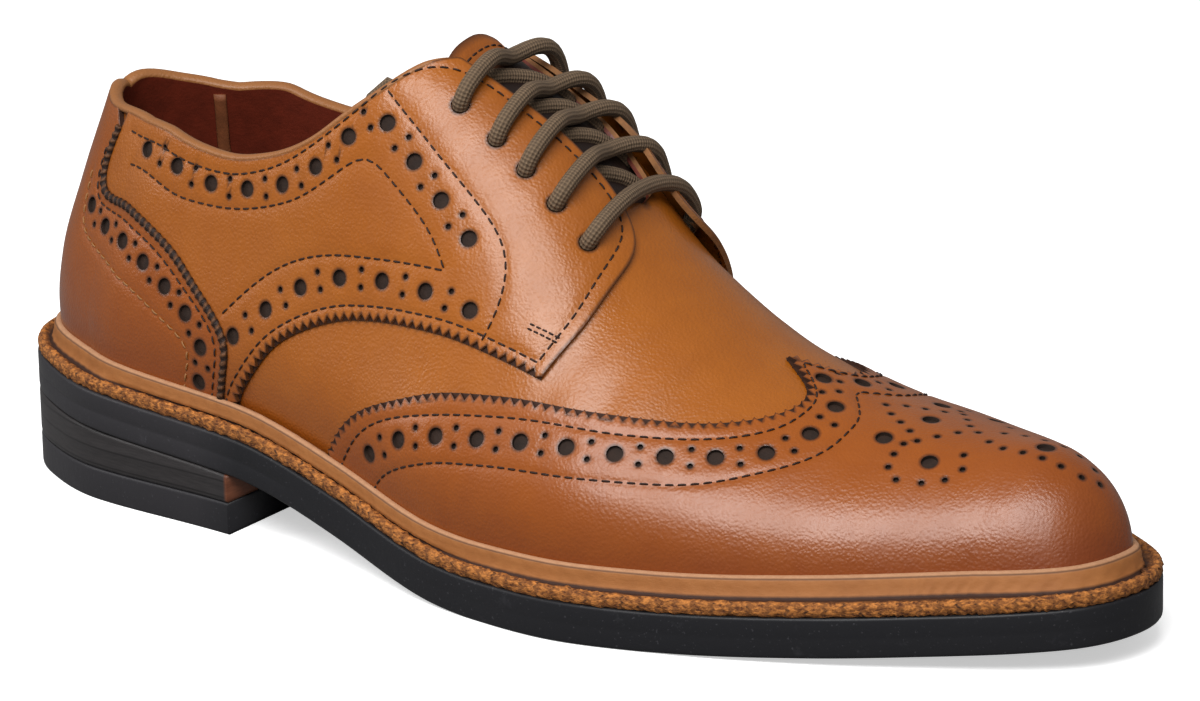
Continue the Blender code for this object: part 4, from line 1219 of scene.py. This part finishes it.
# The tongue
# A plain calf tongue, lined, sewn in under the lacing. Its end stands a little above the top bar,
# and in the gap between the facings its colour is darkened: painted shade.
TONGUE = [
    (0.412, 0.000), (0.413, 0.060), (0.418, 0.120), (0.429, 0.170), (0.450, 0.205),
    (0.500, 0.225), (0.560, 0.215), (0.600, 0.170), (0.612, 0.080), (0.615, 0.000),
]
TONGUE_TOP = -2.6 * MM
TONGUE_THICKNESS = 2.4 * MM
TONGUE_SEAM = [
    (0.423, 0.000), (0.424, 0.055), (0.429, 0.108), (0.440, 0.150), (0.458, 0.185), (0.500, 0.205),
]
tongue_half = through(on_pattern(TONGUE))
tongue_outline = np.concatenate([tongue_half, tongue_half[1:-1][::-1] * (1, -1)])[::2]
tongue_seams = [both_halves(TONGUE_SEAM[::-1])]
tongue_leather = leather("tongue_calf", VAMP_TAN, VAMP_BROWN, EDGE_STAIN_AND_SHADE, 0.5, 0.1, 0.3)
tree = tongue_leather.node_tree
shader = tree.nodes["Principled BSDF"]
# The tongue's own colour, darkened where the shade number is high, in the gap between the facings:
# painted shade.
tongue_own_colour = shader.inputs["Base Color"].links[0].from_socket
feed(tree, shader, Base_Color=blend_colours(tree, read_number(tree, "shade"), tongue_own_colour,
                                            (0.018, 0.007, 0.004)))
tongue = sheet("tongue_leather", tongue_outline, TONGUE_TOP, TONGUE_TOP - TONGUE_THICKNESS / 2,
               tongue_leather, dark_cut_and_shade, seams=tongue_seams, tone=0.45,
               edge_drop=0.3 * MM)
tongue_back = sheet("tongue_lining", tongue_outline, TONGUE_TOP - TONGUE_THICKNESS,
                    TONGUE_TOP - TONGUE_THICKNESS / 2, lining_leather, dark_cut_and_shade,
                    edge_drop=-0.3 * MM, step=3 * MM)
tongue_back.data.flip_normals()
surface = np.empty(len(tongue.data.vertices) * 3)
tongue.data.vertices.foreach_get("co", surface)
# The shade number rises towards the tongue's front, under the lacing: painted shade.
give(tongue, "shade", ease((surface.reshape(-1, 3)[:, 0] + 0.026) / 0.008))
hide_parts("tongue")
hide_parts("tongue")
stitches("tongue_stitches", tongue_seams, TONGUE_TOP, thread_dark)

# The lacing
# A round woven cotton lace in five straight bars, each out of one eyelet and into the one across,
# with slanting runs underneath and one free end tucked behind the top eyelet.
LACE_RADIUS = 2.0 * MM
LACE_WEAVE = 1.5 * MM
lace_fibre, tree, shader = new_material("woven_lace")
run = read_number(tree, "run")
turn = read_number(tree, "turn")
strands = []
for hand in (1, -1):
    wound = math_of(tree, "ADD", math_of(tree, "MULTIPLY", run, 2 * math.pi / LACE_WEAVE),
                    math_of(tree, "MULTIPLY", turn, hand * 6 * 2 * math.pi))
    strands.append(math_of(tree, "SINE", wound))
weave = from_range(tree, math_of(tree, "MULTIPLY", strands[0], strands[1]), -1, 1)
fleck = noise(tree, object_point(tree), 2400.0, 2.0)
height = math_of(tree, "ADD", weave, math_of(tree, "MULTIPLY", fleck, 0.6))
# Darker in the low parts of the weave, lighter on the strands: painted shade between the strands,
# over the yarn's own flecks.
lace_colour = blend_colours(tree, from_range(tree, height, 0.4, 1.3), (0.112, 0.075, 0.046),
                            (0.240, 0.165, 0.102))
feed(tree, shader, Base_Color=lace_colour, Roughness=0.85,
     Normal=bumped(tree, height, 0.0004, 0.9))


def lace_piece(name, lines):
    """Lengths of lace along lines of (points, outward directions)."""
    parts, runs, turns = [], [], []
    for line, up in lines:
        points, faces = tube(line, LACE_RADIUS, 14, 1.0, up)
        lengths = np.concatenate([[0], np.cumsum(np.linalg.norm(np.diff(line, axis=0), axis=1))])
        parts.append((points, faces))
        runs += [np.repeat(lengths, 14), [0.0, lengths[-1]]]
        turns += [np.tile(np.arange(14) / 14, len(line)), [0.5, 0.5]]
    points, faces = joined(parts)
    made = mesh_piece(name, points, faces, [lace_fibre])
    give(made, "run", np.concatenate(runs))
    give(made, "turn", np.concatenate(turns))
    return made


def laid_line(pattern_points, offsets, step=0.8 * MM):
    """A smooth line over the last through pattern points at offsets, with outward directions."""
    lengths = np.concatenate(
        [[0], np.cumsum(np.linalg.norm(np.diff(pattern_points, axis=0), axis=1)
                        + np.abs(np.diff(offsets)))])
    at = np.linspace(0, lengths[-1], max(4, int(lengths[-1] / step)))
    flat = np.stack([smooth_table(lengths, pattern_points[:, k], at) for k in (0, 1)], -1)
    surface, normal, _, _ = frame_at(flat)
    return surface + normal * smooth_table(lengths, offsets, at)[:, None], normal


# How far each bar sags between the facings, as a share of the way down to the tongue.
DIPS = (1.0, 1.0, 1.0, 1.0, 0.35)
LACE_RISE = 1.2 * MM
for number, ((along, down), sink) in enumerate(zip(EYELETS, DIPS), 1):
    shares = np.linspace(-1, 1, 17)
    over = OVERLAY_TOP + LACE_RADIUS + LACE_RISE * np.sqrt(1 - np.abs(shares) ** 3)
    dip = (over - TONGUE_TOP - LACE_RADIUS) * (1 - ease(np.abs(shares) / 0.62)) * sink
    across = np.concatenate([[-1.0, -1.0], shares[1:-1] * 0.97, [1.0, 1.0]])
    heights = np.concatenate([[-1.6 * MM, 0.6 * MM], (over - dip)[1:-1], [0.6 * MM, -1.6 * MM]])
    route = on_pattern([(along, down * share) for share in across], 1)
    bar = lace_piece(f"lace_bar_woven_{number}", [laid_line(route, heights)])
    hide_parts(f"lace_bar_{number}")

UNDER_DEPTH = -2.6 * MM
under_runs = []
for (along, down), (next_along, next_down) in zip(EYELETS, EYELETS[1:]):
    shares = np.linspace(0, 1, 9)
    route = on_pattern([(along + (next_along - along) * share,
                         -0.5 * down + 0.5 * (down + next_down) * share)
                        for share in shares], 1)
    under_runs.append(laid_line(route, np.full(9, UNDER_DEPTH)))
lace_piece("lace_under_runs", under_runs)

LACE_END = [
    (0.405, 0.172), (0.396, 0.152), (0.380, 0.150), (0.363, 0.170), (0.350, 0.205),
    (0.348, 0.250), (0.356, 0.300),
]
LACE_SPRING = 0.6 * MM
end_inside = -UPPER_WALL - LACE_SPRING - LACE_RADIUS
end_line = through(on_pattern(LACE_END), 2 * LACE_RADIUS)
end_path = lay(end_line, end_inside)
_, end_up, _, _ = frame_at(end_line)
lace_end = lace_piece("lace_end_woven", [(end_path, end_up)])
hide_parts("lace_end")

# The outsole
# A moulded rubber sole, satin black at its edge, with a fine line round the heel half where its
# two layers meet. It stands on its ball; the waist arches up from the heel.

# Rings round the shoe, all with the same stations: headings from a centre that runs along it.
HEEL_TURNS = 60
TOE_TURNS = 90
SIDE_STATIONS = 170
side_run = np.linspace(FAN_HEEL * SOLE_LENGTH, FAN_TOE * SOLE_LENGTH, SIDE_STATIONS)
side_run = np.unique(np.append(side_run, HEEL_LENGTH))[1:-1]
half_centres = np.concatenate([
    np.full(HEEL_TURNS + 1, FAN_HEEL * SOLE_LENGTH), side_run,
    np.full(TOE_TURNS + 1, FAN_TOE * SOLE_LENGTH),
])
half_headings = np.concatenate([
    np.linspace(-math.pi, -math.pi / 2, HEEL_TURNS + 1), np.full(len(side_run), -math.pi / 2),
    np.linspace(-math.pi / 2, 0, TOE_TURNS + 1),
])
ring_centres = np.concatenate([half_centres, half_centres[-2:0:-1]])
ring_headings = np.concatenate([half_headings, -half_headings[-2:0:-1]])
ring_ahead, ring_aside = np.cos(ring_headings), np.sin(ring_headings)
RING = len(ring_centres)
HALF = len(half_centres) - 1


def moved_out(loop, offset):
    tangent = np.roll(loop, -1, 0)[:, :2] - np.roll(loop, 1, 0)[:, :2]
    normal = np.stack([tangent[:, 1], -tangent[:, 0]], -1)
    normal /= np.linalg.norm(normal, axis=1)[:, None]
    moved = loop.copy()
    moved[:, :2] += normal * np.reshape(offset, (-1, 1))
    return moved


def sole_form(d):
    x = ring_centres + d * ring_ahead
    share = np.abs(d * ring_aside) / np.maximum(wide(x, d * ring_aside, SOLE_WIDTHS), 1e-6)
    return np.where((x > 0) & (x < SOLE_LENGTH), share, 2.0)


sole_reach = reach(sole_form, RING, BALL_WIDTH)
SOLE_X = ring_centres + sole_reach * ring_ahead
SOLE_EDGE = np.stack([SOLE_X - CENTRE_X, sole_reach * ring_aside + CENTRE_Y,
                      floor_of(SOLE_X)], -1)


def sole_loop(height, inset):
    """Round the sole, moved in, at a height above the welt's floor."""
    return moved_out(SOLE_EDGE, -np.asarray(inset)) + (0, 0, 1) * np.reshape(height, (-1, 1))


def ring_grid(loops, closed_section=False):
    """Faces between loops of equal length that go round the shoe."""
    count = len(loops[0])
    pairs = [(k, k + 1) for k in range(len(loops) - 1)]
    if closed_section:
        pairs.append((len(loops) - 1, 0))
    faces = []
    for low, high in pairs:
        for i in range(count):
            j = (i + 1) % count
            faces.append((low * count + i, low * count + j, high * count + j, high * count + i))
    return faces


def closed_slab(loops, last_row, columns=8):
    """Points and faces of a slab through loops, lowest first, closed underneath and on top.

    Only the stations up to last_row from the heel are used; the cut there is straight."""
    right = list(range(last_row + 1))
    left = [(RING - i) % RING for i in right]
    open_end = last_row < HALF
    around = right + left[::-1][(0 if open_end else 1):-1]
    count = len(around)
    rings = [loop[around] for loop in loops]
    points = [np.concatenate(rings)]
    faces = ring_grid(rings)
    place = {station: position for position, station in enumerate(around)}
    start = count * len(loops)
    for base, loop, upward in ((0, loops[0], False), ((len(loops) - 1) * count, loops[-1], True)):
        grid = []
        inner = []
        for i in right:
            a, b = right[i], left[i]
            if a == b:
                grid.append([base + place[a]] * (columns + 1))
                continue
            shares = np.linspace(0, 1, columns + 1)[1:-1, None]
            across = loop[a] * (1 - shares) + loop[b] * shares
            indices = list(range(start + len(inner), start + len(inner) + columns - 1))
            inner += list(across)
            grid.append([base + place[a], *indices, base + place[b]])
        points.append(np.array(inner))
        start += len(inner)
        for low, high in zip(grid, grid[1:]):
            for k in range(columns):
                quad = [low[k], high[k], high[k + 1], low[k + 1]]
                quad = list(dict.fromkeys(quad))
                if len(quad) > 2:
                    faces.append(tuple(quad if upward else quad[::-1]))
    return np.concatenate(points), faces


rubber, tree, shader = new_material("sole_rubber")
point = object_point(tree)
scuff = from_range(tree, noise(tree, point, 90.0, 6.0, 0.7), 0.60, 0.75)
speck = from_range(tree, noise(tree, point, 1300.0, 2.0), 0.66, 0.74)
marked = math_of(tree, "MAXIMUM", math_of(tree, "MULTIPLY", scuff, 0.35),
                 math_of(tree, "MULTIPLY", speck, 0.5))
split = add_node(tree, "ShaderNodeSeparateXYZ", inputs={0: point})
at_heel = from_range(tree, split.outputs["X"], -0.070, -0.085)
clean = blend_colours(tree, at_heel, (0.017, 0.017, 0.020), (0.036, 0.034, 0.038))
feed(tree, shader, Base_Color=blend_colours(tree, marked, clean, (0.090, 0.088, 0.098)),
     Specular_IOR_Level=0.35, Roughness=from_range(tree, scuff, 0, 1, 0.42, 0.62),
     Normal=bumped(tree, noise(tree, point, 500.0, 4.0), 0.0002, 0.35))
SOLE_PROFILE = [
    # share of the thickness, inset in mm
    (0.00, 0.9), (0.02, 0.35), (0.06, 0.08), (0.12, 0.0), (0.46, 0.0), (0.50, 0.16), (0.54, 0.0),
    (0.92, 0.0), (0.97, 0.12), (1.00, 0.5),
]
heel_half = np.where(SOLE_X < HEEL_LENGTH * 1.25, 1.0, 0.25)
sole_rings = []
for share, inset in SOLE_PROFILE:
    weight = heel_half if share == 0.50 else 1.0
    sole_rings.append(sole_loop((share - 1) * OUTSOLE_THICKNESS, inset * MM * weight))
points, faces = closed_slab(sole_rings, HALF)
outsole = mesh_piece("outsole_rubber", points, faces, [rubber])
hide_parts("outsole")

# The heel
# A block of stacked leather lifts, glued and nailed under the sole and stained black at the edge,
# its breast left red-brown, on a rubber top piece that walks on the floor.
TOP_PIECE = 8.0 * MM
LIFT = 4.1 * MM
LIFT_ROUND = 0.4 * MM
BREAST_ROW = int(np.argmin(np.abs(SOLE_X[:HALF] - HEEL_LENGTH)))
stack_leather, tree, shader = new_material("heel_stack_leather")
point = object_point(tree)
split = add_node(tree, "ShaderNodeSeparateXYZ", inputs={0: point})
lifts = math_of(tree, "SINE", math_of(tree, "MULTIPLY", split.outputs["Z"], 2 * math.pi / LIFT))
streak_point = add_node(tree, "ShaderNodeMapping", inputs={"Vector": point,
                                                            "Scale": (1.0, 1.0, 9.0)}).outputs[0]
streak = noise(tree, streak_point, 240.0, 4.0)
breast = from_range(tree, split.outputs["X"], HEEL_LENGTH - CENTRE_X - 1.2 * MM,
                    HEEL_LENGTH - CENTRE_X - 0.4 * MM)
dark = blend_colours(tree, streak, (0.018, 0.016, 0.017), (0.050, 0.044, 0.044))
dark = blend_colours(tree, from_range(tree, lifts, 0.9, 1.0, 0.0, 0.7), dark, (0.006, 0.005, 0.005))
red = blend_colours(tree, streak, (0.10, 0.028, 0.012), (0.21, 0.075, 0.033))
feed(tree, shader, Base_Color=blend_colours(tree, breast, dark, red), Roughness=0.42,
     Normal=bumped(tree, math_of(tree, "ADD", lifts, streak), 0.0002, 0.35))


def heel_slab(low, high):
    """Rings of a lift between two heights, its edges a little rounded."""
    flat = SOLE_EDGE.copy()
    rings = []
    for share, inset in ((0, LIFT_ROUND), (0.04, 0.1 * MM), (0.1, 0.0), (0.9, 0.0),
                         (0.96, 0.1 * MM), (1, LIFT_ROUND)):
        ring = moved_out(flat, -inset)
        ring[:, 2] = low + (high - low) * share
        rings.append(ring)
    return rings


seat = sole_bottom(SOLE_X)
points, faces = closed_slab(heel_slab(np.full(RING, TOP_PIECE + 0.1 * MM), seat - 0.05 * MM),
                            BREAST_ROW)
stack = mesh_piece("heel_lifts", points, faces, [stack_leather])
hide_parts("heel_stack")
points, faces = closed_slab(heel_slab(np.zeros(RING), np.full(RING, TOP_PIECE)), BREAST_ROW)
top_piece = mesh_piece("heel_top_rubber", points, faces, [rubber])
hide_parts("heel_top_piece")

# The welt
# A strip of vegetable-tanned leather stitched round the whole sole: a soft rib that stands
# against the upper, a smooth face, a wrinkled groove at its foot and a rough, fibrous flange.


def last_loop(height, offset):
    """Round the last at a height above its floor, moved out by an offset."""
    z = np.full(RING, height)
    r = reach(lambda d: inside_last(ring_centres + d * ring_ahead, d * ring_aside, z),
              RING, BALL_WIDTH)
    return moved_out(settle(ring_centres + r * ring_ahead, r * ring_aside, z), offset)


WELT_STITCH = 4.3 * MM
welt_leather, tree, shader = new_material("welt_leather")
point = object_point(tree)
part = read_number(tree, "part")
fibre_point = add_node(tree, "ShaderNodeMapping",
                       inputs={"Vector": point, "Scale": (1.0, 1.0, 2.2)}).outputs[0]
fibre = noise(tree, fibre_point, 620.0, 6.0, 0.7)
coarse = noise(tree, point, 180.0, 4.0)
smooth_face = blend_colours(tree, coarse, (0.30, 0.110, 0.026), (0.44, 0.185, 0.055))
suede = blend_colours(tree, fibre, (0.36, 0.17, 0.085), (0.60, 0.36, 0.21))
rough_edge = blend_colours(tree, from_range(tree, fibre, 0.38, 0.62), (0.120, 0.034, 0.007),
                           (0.68, 0.27, 0.062))
# Painted shade for the crease between rib and face and for the groove.
groove_shade_colour = (0.045, 0.014, 0.005)
beat = math_of(tree, "SINE", math_of(tree, "MULTIPLY", read_number(tree, "run"),
                                     2 * math.pi / WELT_STITCH))
fleck = math_of(tree, "MULTIPLY", from_range(tree, beat, 0.55, 0.95),
                from_range(tree, fibre, 0.45, 0.60))
rough_edge = blend_colours(tree, fleck, rough_edge, (0.060, 0.018, 0.005))
colour = blend_colours(tree, from_range(tree, part, 0.0, 1.0), suede, smooth_face)
# A dark line along the crease between rib and face, and dark down in the groove: painted shade.
crease_shade = from_range(tree, math_of(tree, "ABSOLUTE", math_of(tree, "SUBTRACT", part, 0.5)),
                         0.0, 0.35, 0.75, 0.0)
colour = blend_colours(tree, crease_shade, colour, groove_shade_colour)
colour = blend_colours(tree, from_range(tree, part, 1.4, 2.0), colour, groove_shade_colour)
colour = blend_colours(tree, from_range(tree, part, 2.0, 3.0), colour, rough_edge)
roughened = from_range(tree, part, 2.2, 3.0, 0.15, 1.0)
feed(tree, shader, Base_Color=colour, Roughness=0.68,
     Normal=bumped(tree, math_of(tree, "MULTIPLY", fibre, roughened), 0.0008, 0.9))
WELT_ROWS = [
    # which outline, height mm, offset mm, part: 0 suede rib, 1 face, 2 groove, 3 rough flange
    ("last", 0.2, 0.9, 0), ("last", 5.0, 0.9, 0), ("last", 6.8, 1.0, 0), ("last", 7.35, 1.35, 0),
    ("last", 7.5, 2.0, 0), ("last", 7.3, 2.7, 0), ("last", 6.9, 3.1, 0.5),
    ("last", 6.5, 3.3, 1), ("last", 5.4, 3.5, 1), ("last", 4.4, 3.7, 1), ("last", 3.7, 4.0, 1.2),
    ("last", 3.0, 4.4, 2), ("last", 2.5, 4.9, 2), ("sole", 2.7, 2.4, 2.5), ("sole", 3.2, 1.9, 3),
    ("sole", 3.3, 1.3, 3), ("sole", 3.1, 0.7, 3), ("sole", 2.6, 0.35, 3), ("sole", 1.8, 0.2, 3),
    ("sole", 1.0, 0.3, 3), ("sole", 0.3, 0.5, 3), ("sole", 0.05, 0.9, 3),
]
GROOVE_ROWS = [(11, 3.1), (12, 2.7)]
WRINKLE_PITCH = 4.6 * MM
rng = np.random.default_rng(7)
lengths = np.concatenate([[0], np.cumsum(np.linalg.norm(np.diff(SOLE_EDGE, axis=0), axis=1))])
wrinkle = np.sin(lengths * 2 * math.pi / WRINKLE_PITCH + 0.8 * np.sin(lengths * 150))
welt_rings, parts_of = [], []
for which, height, offset, part_number in WELT_ROWS:
    ruffle = 0.0
    if part_number >= 2.5:
        ruffle = rng.normal(0, 0.16, RING)
    elif which == "last" and part_number >= 1:
        ruffle = 0.13 * np.roll(wrinkle, int(2 * height))
    elif part_number == 0:
        ruffle = rng.normal(0, 0.04, RING)
    if which == "last":
        ring = last_loop(height * MM, (offset + ruffle) * MM)
    else:
        ring = sole_loop((height + 0.6 * ruffle) * MM, (offset + ruffle) * MM)
    welt_rings.append(ring)
    parts_of.append(np.full(RING, part_number))
# Where the sole stands out little, the groove keeps inside the flange.
for k, inset in GROOVE_ROWS:
    limit = sole_loop(WELT_ROWS[k][1] * MM, inset * MM)
    centre_of = np.stack([ring_centres - CENTRE_X, np.full(RING, CENTRE_Y)], -1)
    far = np.linalg.norm(welt_rings[k][:, :2] - centre_of, axis=1)
    most = np.linalg.norm(limit[:, :2] - centre_of, axis=1)
    outside = far > most
    welt_rings[k][outside, :2] = limit[outside, :2]
welt = mesh_piece("welt_strip", np.concatenate(welt_rings), ring_grid(welt_rings, True),
                  [welt_leather])
give(welt, "part", np.concatenate(parts_of))
give(welt, "run", np.concatenate([lengths + 0.9 * MM * (k % 2) for k in range(len(welt_rings))]))
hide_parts("welt")

# The insole
# A leather sock glued on the insole board, from the heel to the toe, inside the lining.
# It is seen only through the collar.
SOCK_INSET = 3.2
insole_rings = []
for height, inset in ((0.1, 0.2), (0.8, 0.0), (3.4, 0.0), (4.0, 0.6)):
    insole_rings.append(last_loop(height * MM, -(SOCK_INSET + inset) * MM))
points, faces = closed_slab(insole_rings, HALF)
insole = mesh_piece("insole_sock", points, faces, [
    plain("insole_leather", (0.36, 0.20, 0.095), 0.6, 700.0, 0.3, 0.1)])
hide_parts("insole")

# The topline
# The collar's edge all round: the quarters' leather folded over the lining's and rolled, where it
# is rubbed to a lighter tan than the sides. It thins out at both facings.
roll_tan = leather("topline_tan", (0.36, 0.155, 0.050), (0.22, 0.075, 0.020), (0.30, 0.12, 0.035),
                   0.48, 0.1, 0.35)
ROLL_RADIUS = 1.1 * MM
ROLL_SINK = 0.1 * MM
ROLL_FLAT = 1.55
topline = np.concatenate([collar_line(-1)[::-1], collar_line(1)[1:]])
topline = evenly(topline, 1.4 * MM)
roll_points, roll_up, _, _ = frame_at(topline)
roll_line = roll_points - roll_up * ROLL_SINK
taper = np.full(len(topline), ROLL_RADIUS)
taper[:6] = taper[-6:][::-1] = ROLL_RADIUS * np.linspace(0.55, 0.95, 6)
points, faces = tube(roll_line, taper, 14, ROLL_FLAT, roll_up)
roll = mesh_piece("topline_roll", points, faces, [roll_tan])
give(roll, "edge", np.full(len(points), FAR_FROM_EDGE))
give(roll, "tone", np.full(len(points), 0.25))
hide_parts("upper")

# The gimped edging
# A raised, twisted edging covers the joint between the counter and each quarter: two strands of
# waxed thread over the leather's dark cut edge.
edging_dark, tree, shader = new_material("gimped_edging")
twist = read_number(tree, "twist")
ridges = from_range(tree, math_of(tree, "SINE", twist), -1, 1)
fray = noise(tree, object_point(tree), 1500.0, 3.0)
# Lighter on the ridges of the twist where the fray noise is high, dark between them: painted
# highlight and shade, broken by the thread's own flecks.
light = math_of(tree, "MULTIPLY", ridges, fray)
feed(tree, shader, Base_Color=blend_colours(tree, from_range(tree, light, 0.1, 0.6),
                                            (0.022, 0.008, 0.004), (0.170, 0.070, 0.024)),
     Roughness=0.6, Normal=bumped(tree, math_of(tree, "ADD", ridges, fray), 0.0005, 0.8))
EDGING_TWIST = 2.1 * MM
EDGING_RADIUS = 1.0 * MM
parts, twists = [], []
for side in (-1, 1):
    line = evenly(counter_side[side], 0.5 * MM)
    surface, normal, _, _ = frame_at(line)
    run = np.concatenate([[0], np.cumsum(np.linalg.norm(np.diff(surface, axis=0), axis=1))])
    swell = 1 + 0.22 * np.sin(run * 2 * math.pi / EDGING_TWIST)
    middle = surface + normal * (OVERLAY_TOP - 0.05 * MM)
    points, faces = tube(middle, EDGING_RADIUS * swell, 10, 0.9, normal)
    parts.append((points, faces))
    phase = run * 2 * math.pi / EDGING_TWIST
    around = np.linspace(0, 2 * math.pi, 10, endpoint=False)
    twists += [(phase[:, None] + around[None]).reshape(-1), [phase[0], phase[-1]]]
points, faces = joined(parts)
edging = mesh_piece("gimped_edging", points, faces, [edging_dark])
give(edging, "twist", np.concatenate(twists))


# The floor and the light
# A pale paper floor under a large soft lamp above the toe's outer side, and a weaker one from
# behind the heel, in a white room. The camera sees the floor white.
floor_mesh = bpy.data.meshes.new("floor")
FLOOR_HALF = 6
drawn = bmesh.new()
bmesh.ops.create_grid(drawn, x_segments=1, y_segments=1, size=FLOOR_HALF)
drawn.to_mesh(floor_mesh)
drawn.free()
floor = bpy.data.objects.new("floor", floor_mesh)
bpy.context.scene.collection.objects.link(floor)
FLOOR_GLOW = 0.55
floor_material, tree, shader = new_material("floor_paper")
seen = add_node(tree, "ShaderNodeLightPath").outputs["Is Camera Ray"]
feed(tree, shader, Base_Color=blend_colours(tree, seen, (0.30, 0.30, 0.30), (0.92, 0.92, 0.92)),
     Roughness=0.9, Specular_IOR_Level=0.0, Emission_Color=(1.0, 1.0, 1.0),
     Emission_Strength=math_of(tree, "MULTIPLY", seen, FLOOR_GLOW))
floor_mesh.materials.append(floor_material)

ROOM_LIGHT = 0.34
world = bpy.data.worlds.new("room")
world.use_nodes = True
walls = world.node_tree.nodes["Background"]
walls.inputs["Color"].default_value = (1, 1, 1, 1)
walls.inputs["Strength"].default_value = ROOM_LIGHT
bpy.context.scene.world = world


def lamp(name, place, aim, size, power):
    light = bpy.data.lights.new(name, "AREA")
    light.shape = "RECTANGLE"
    light.size, light.size_y = size
    light.energy = power
    made = bpy.data.objects.new(name, light)
    made.location = place
    heading = Vector(aim) - Vector(place)
    made.rotation_euler = heading.to_track_quat("-Z", "Y").to_euler()
    bpy.context.scene.collection.objects.link(made)


INSTEP = (0.0, 0.0, 0.05)
KEY_POWER = 15
FILL_POWER = 3
lamp("key", (0.25, -0.75, 0.95), INSTEP, (0.9, 0.6), KEY_POWER)
lamp("fill", (-0.9, -0.5, 0.6), INSTEP, (0.4, 0.7), FILL_POWER)
bpy.context.scene.view_settings.view_transform = "Standard"
bpy.context.scene.view_settings.gamma = 0.90
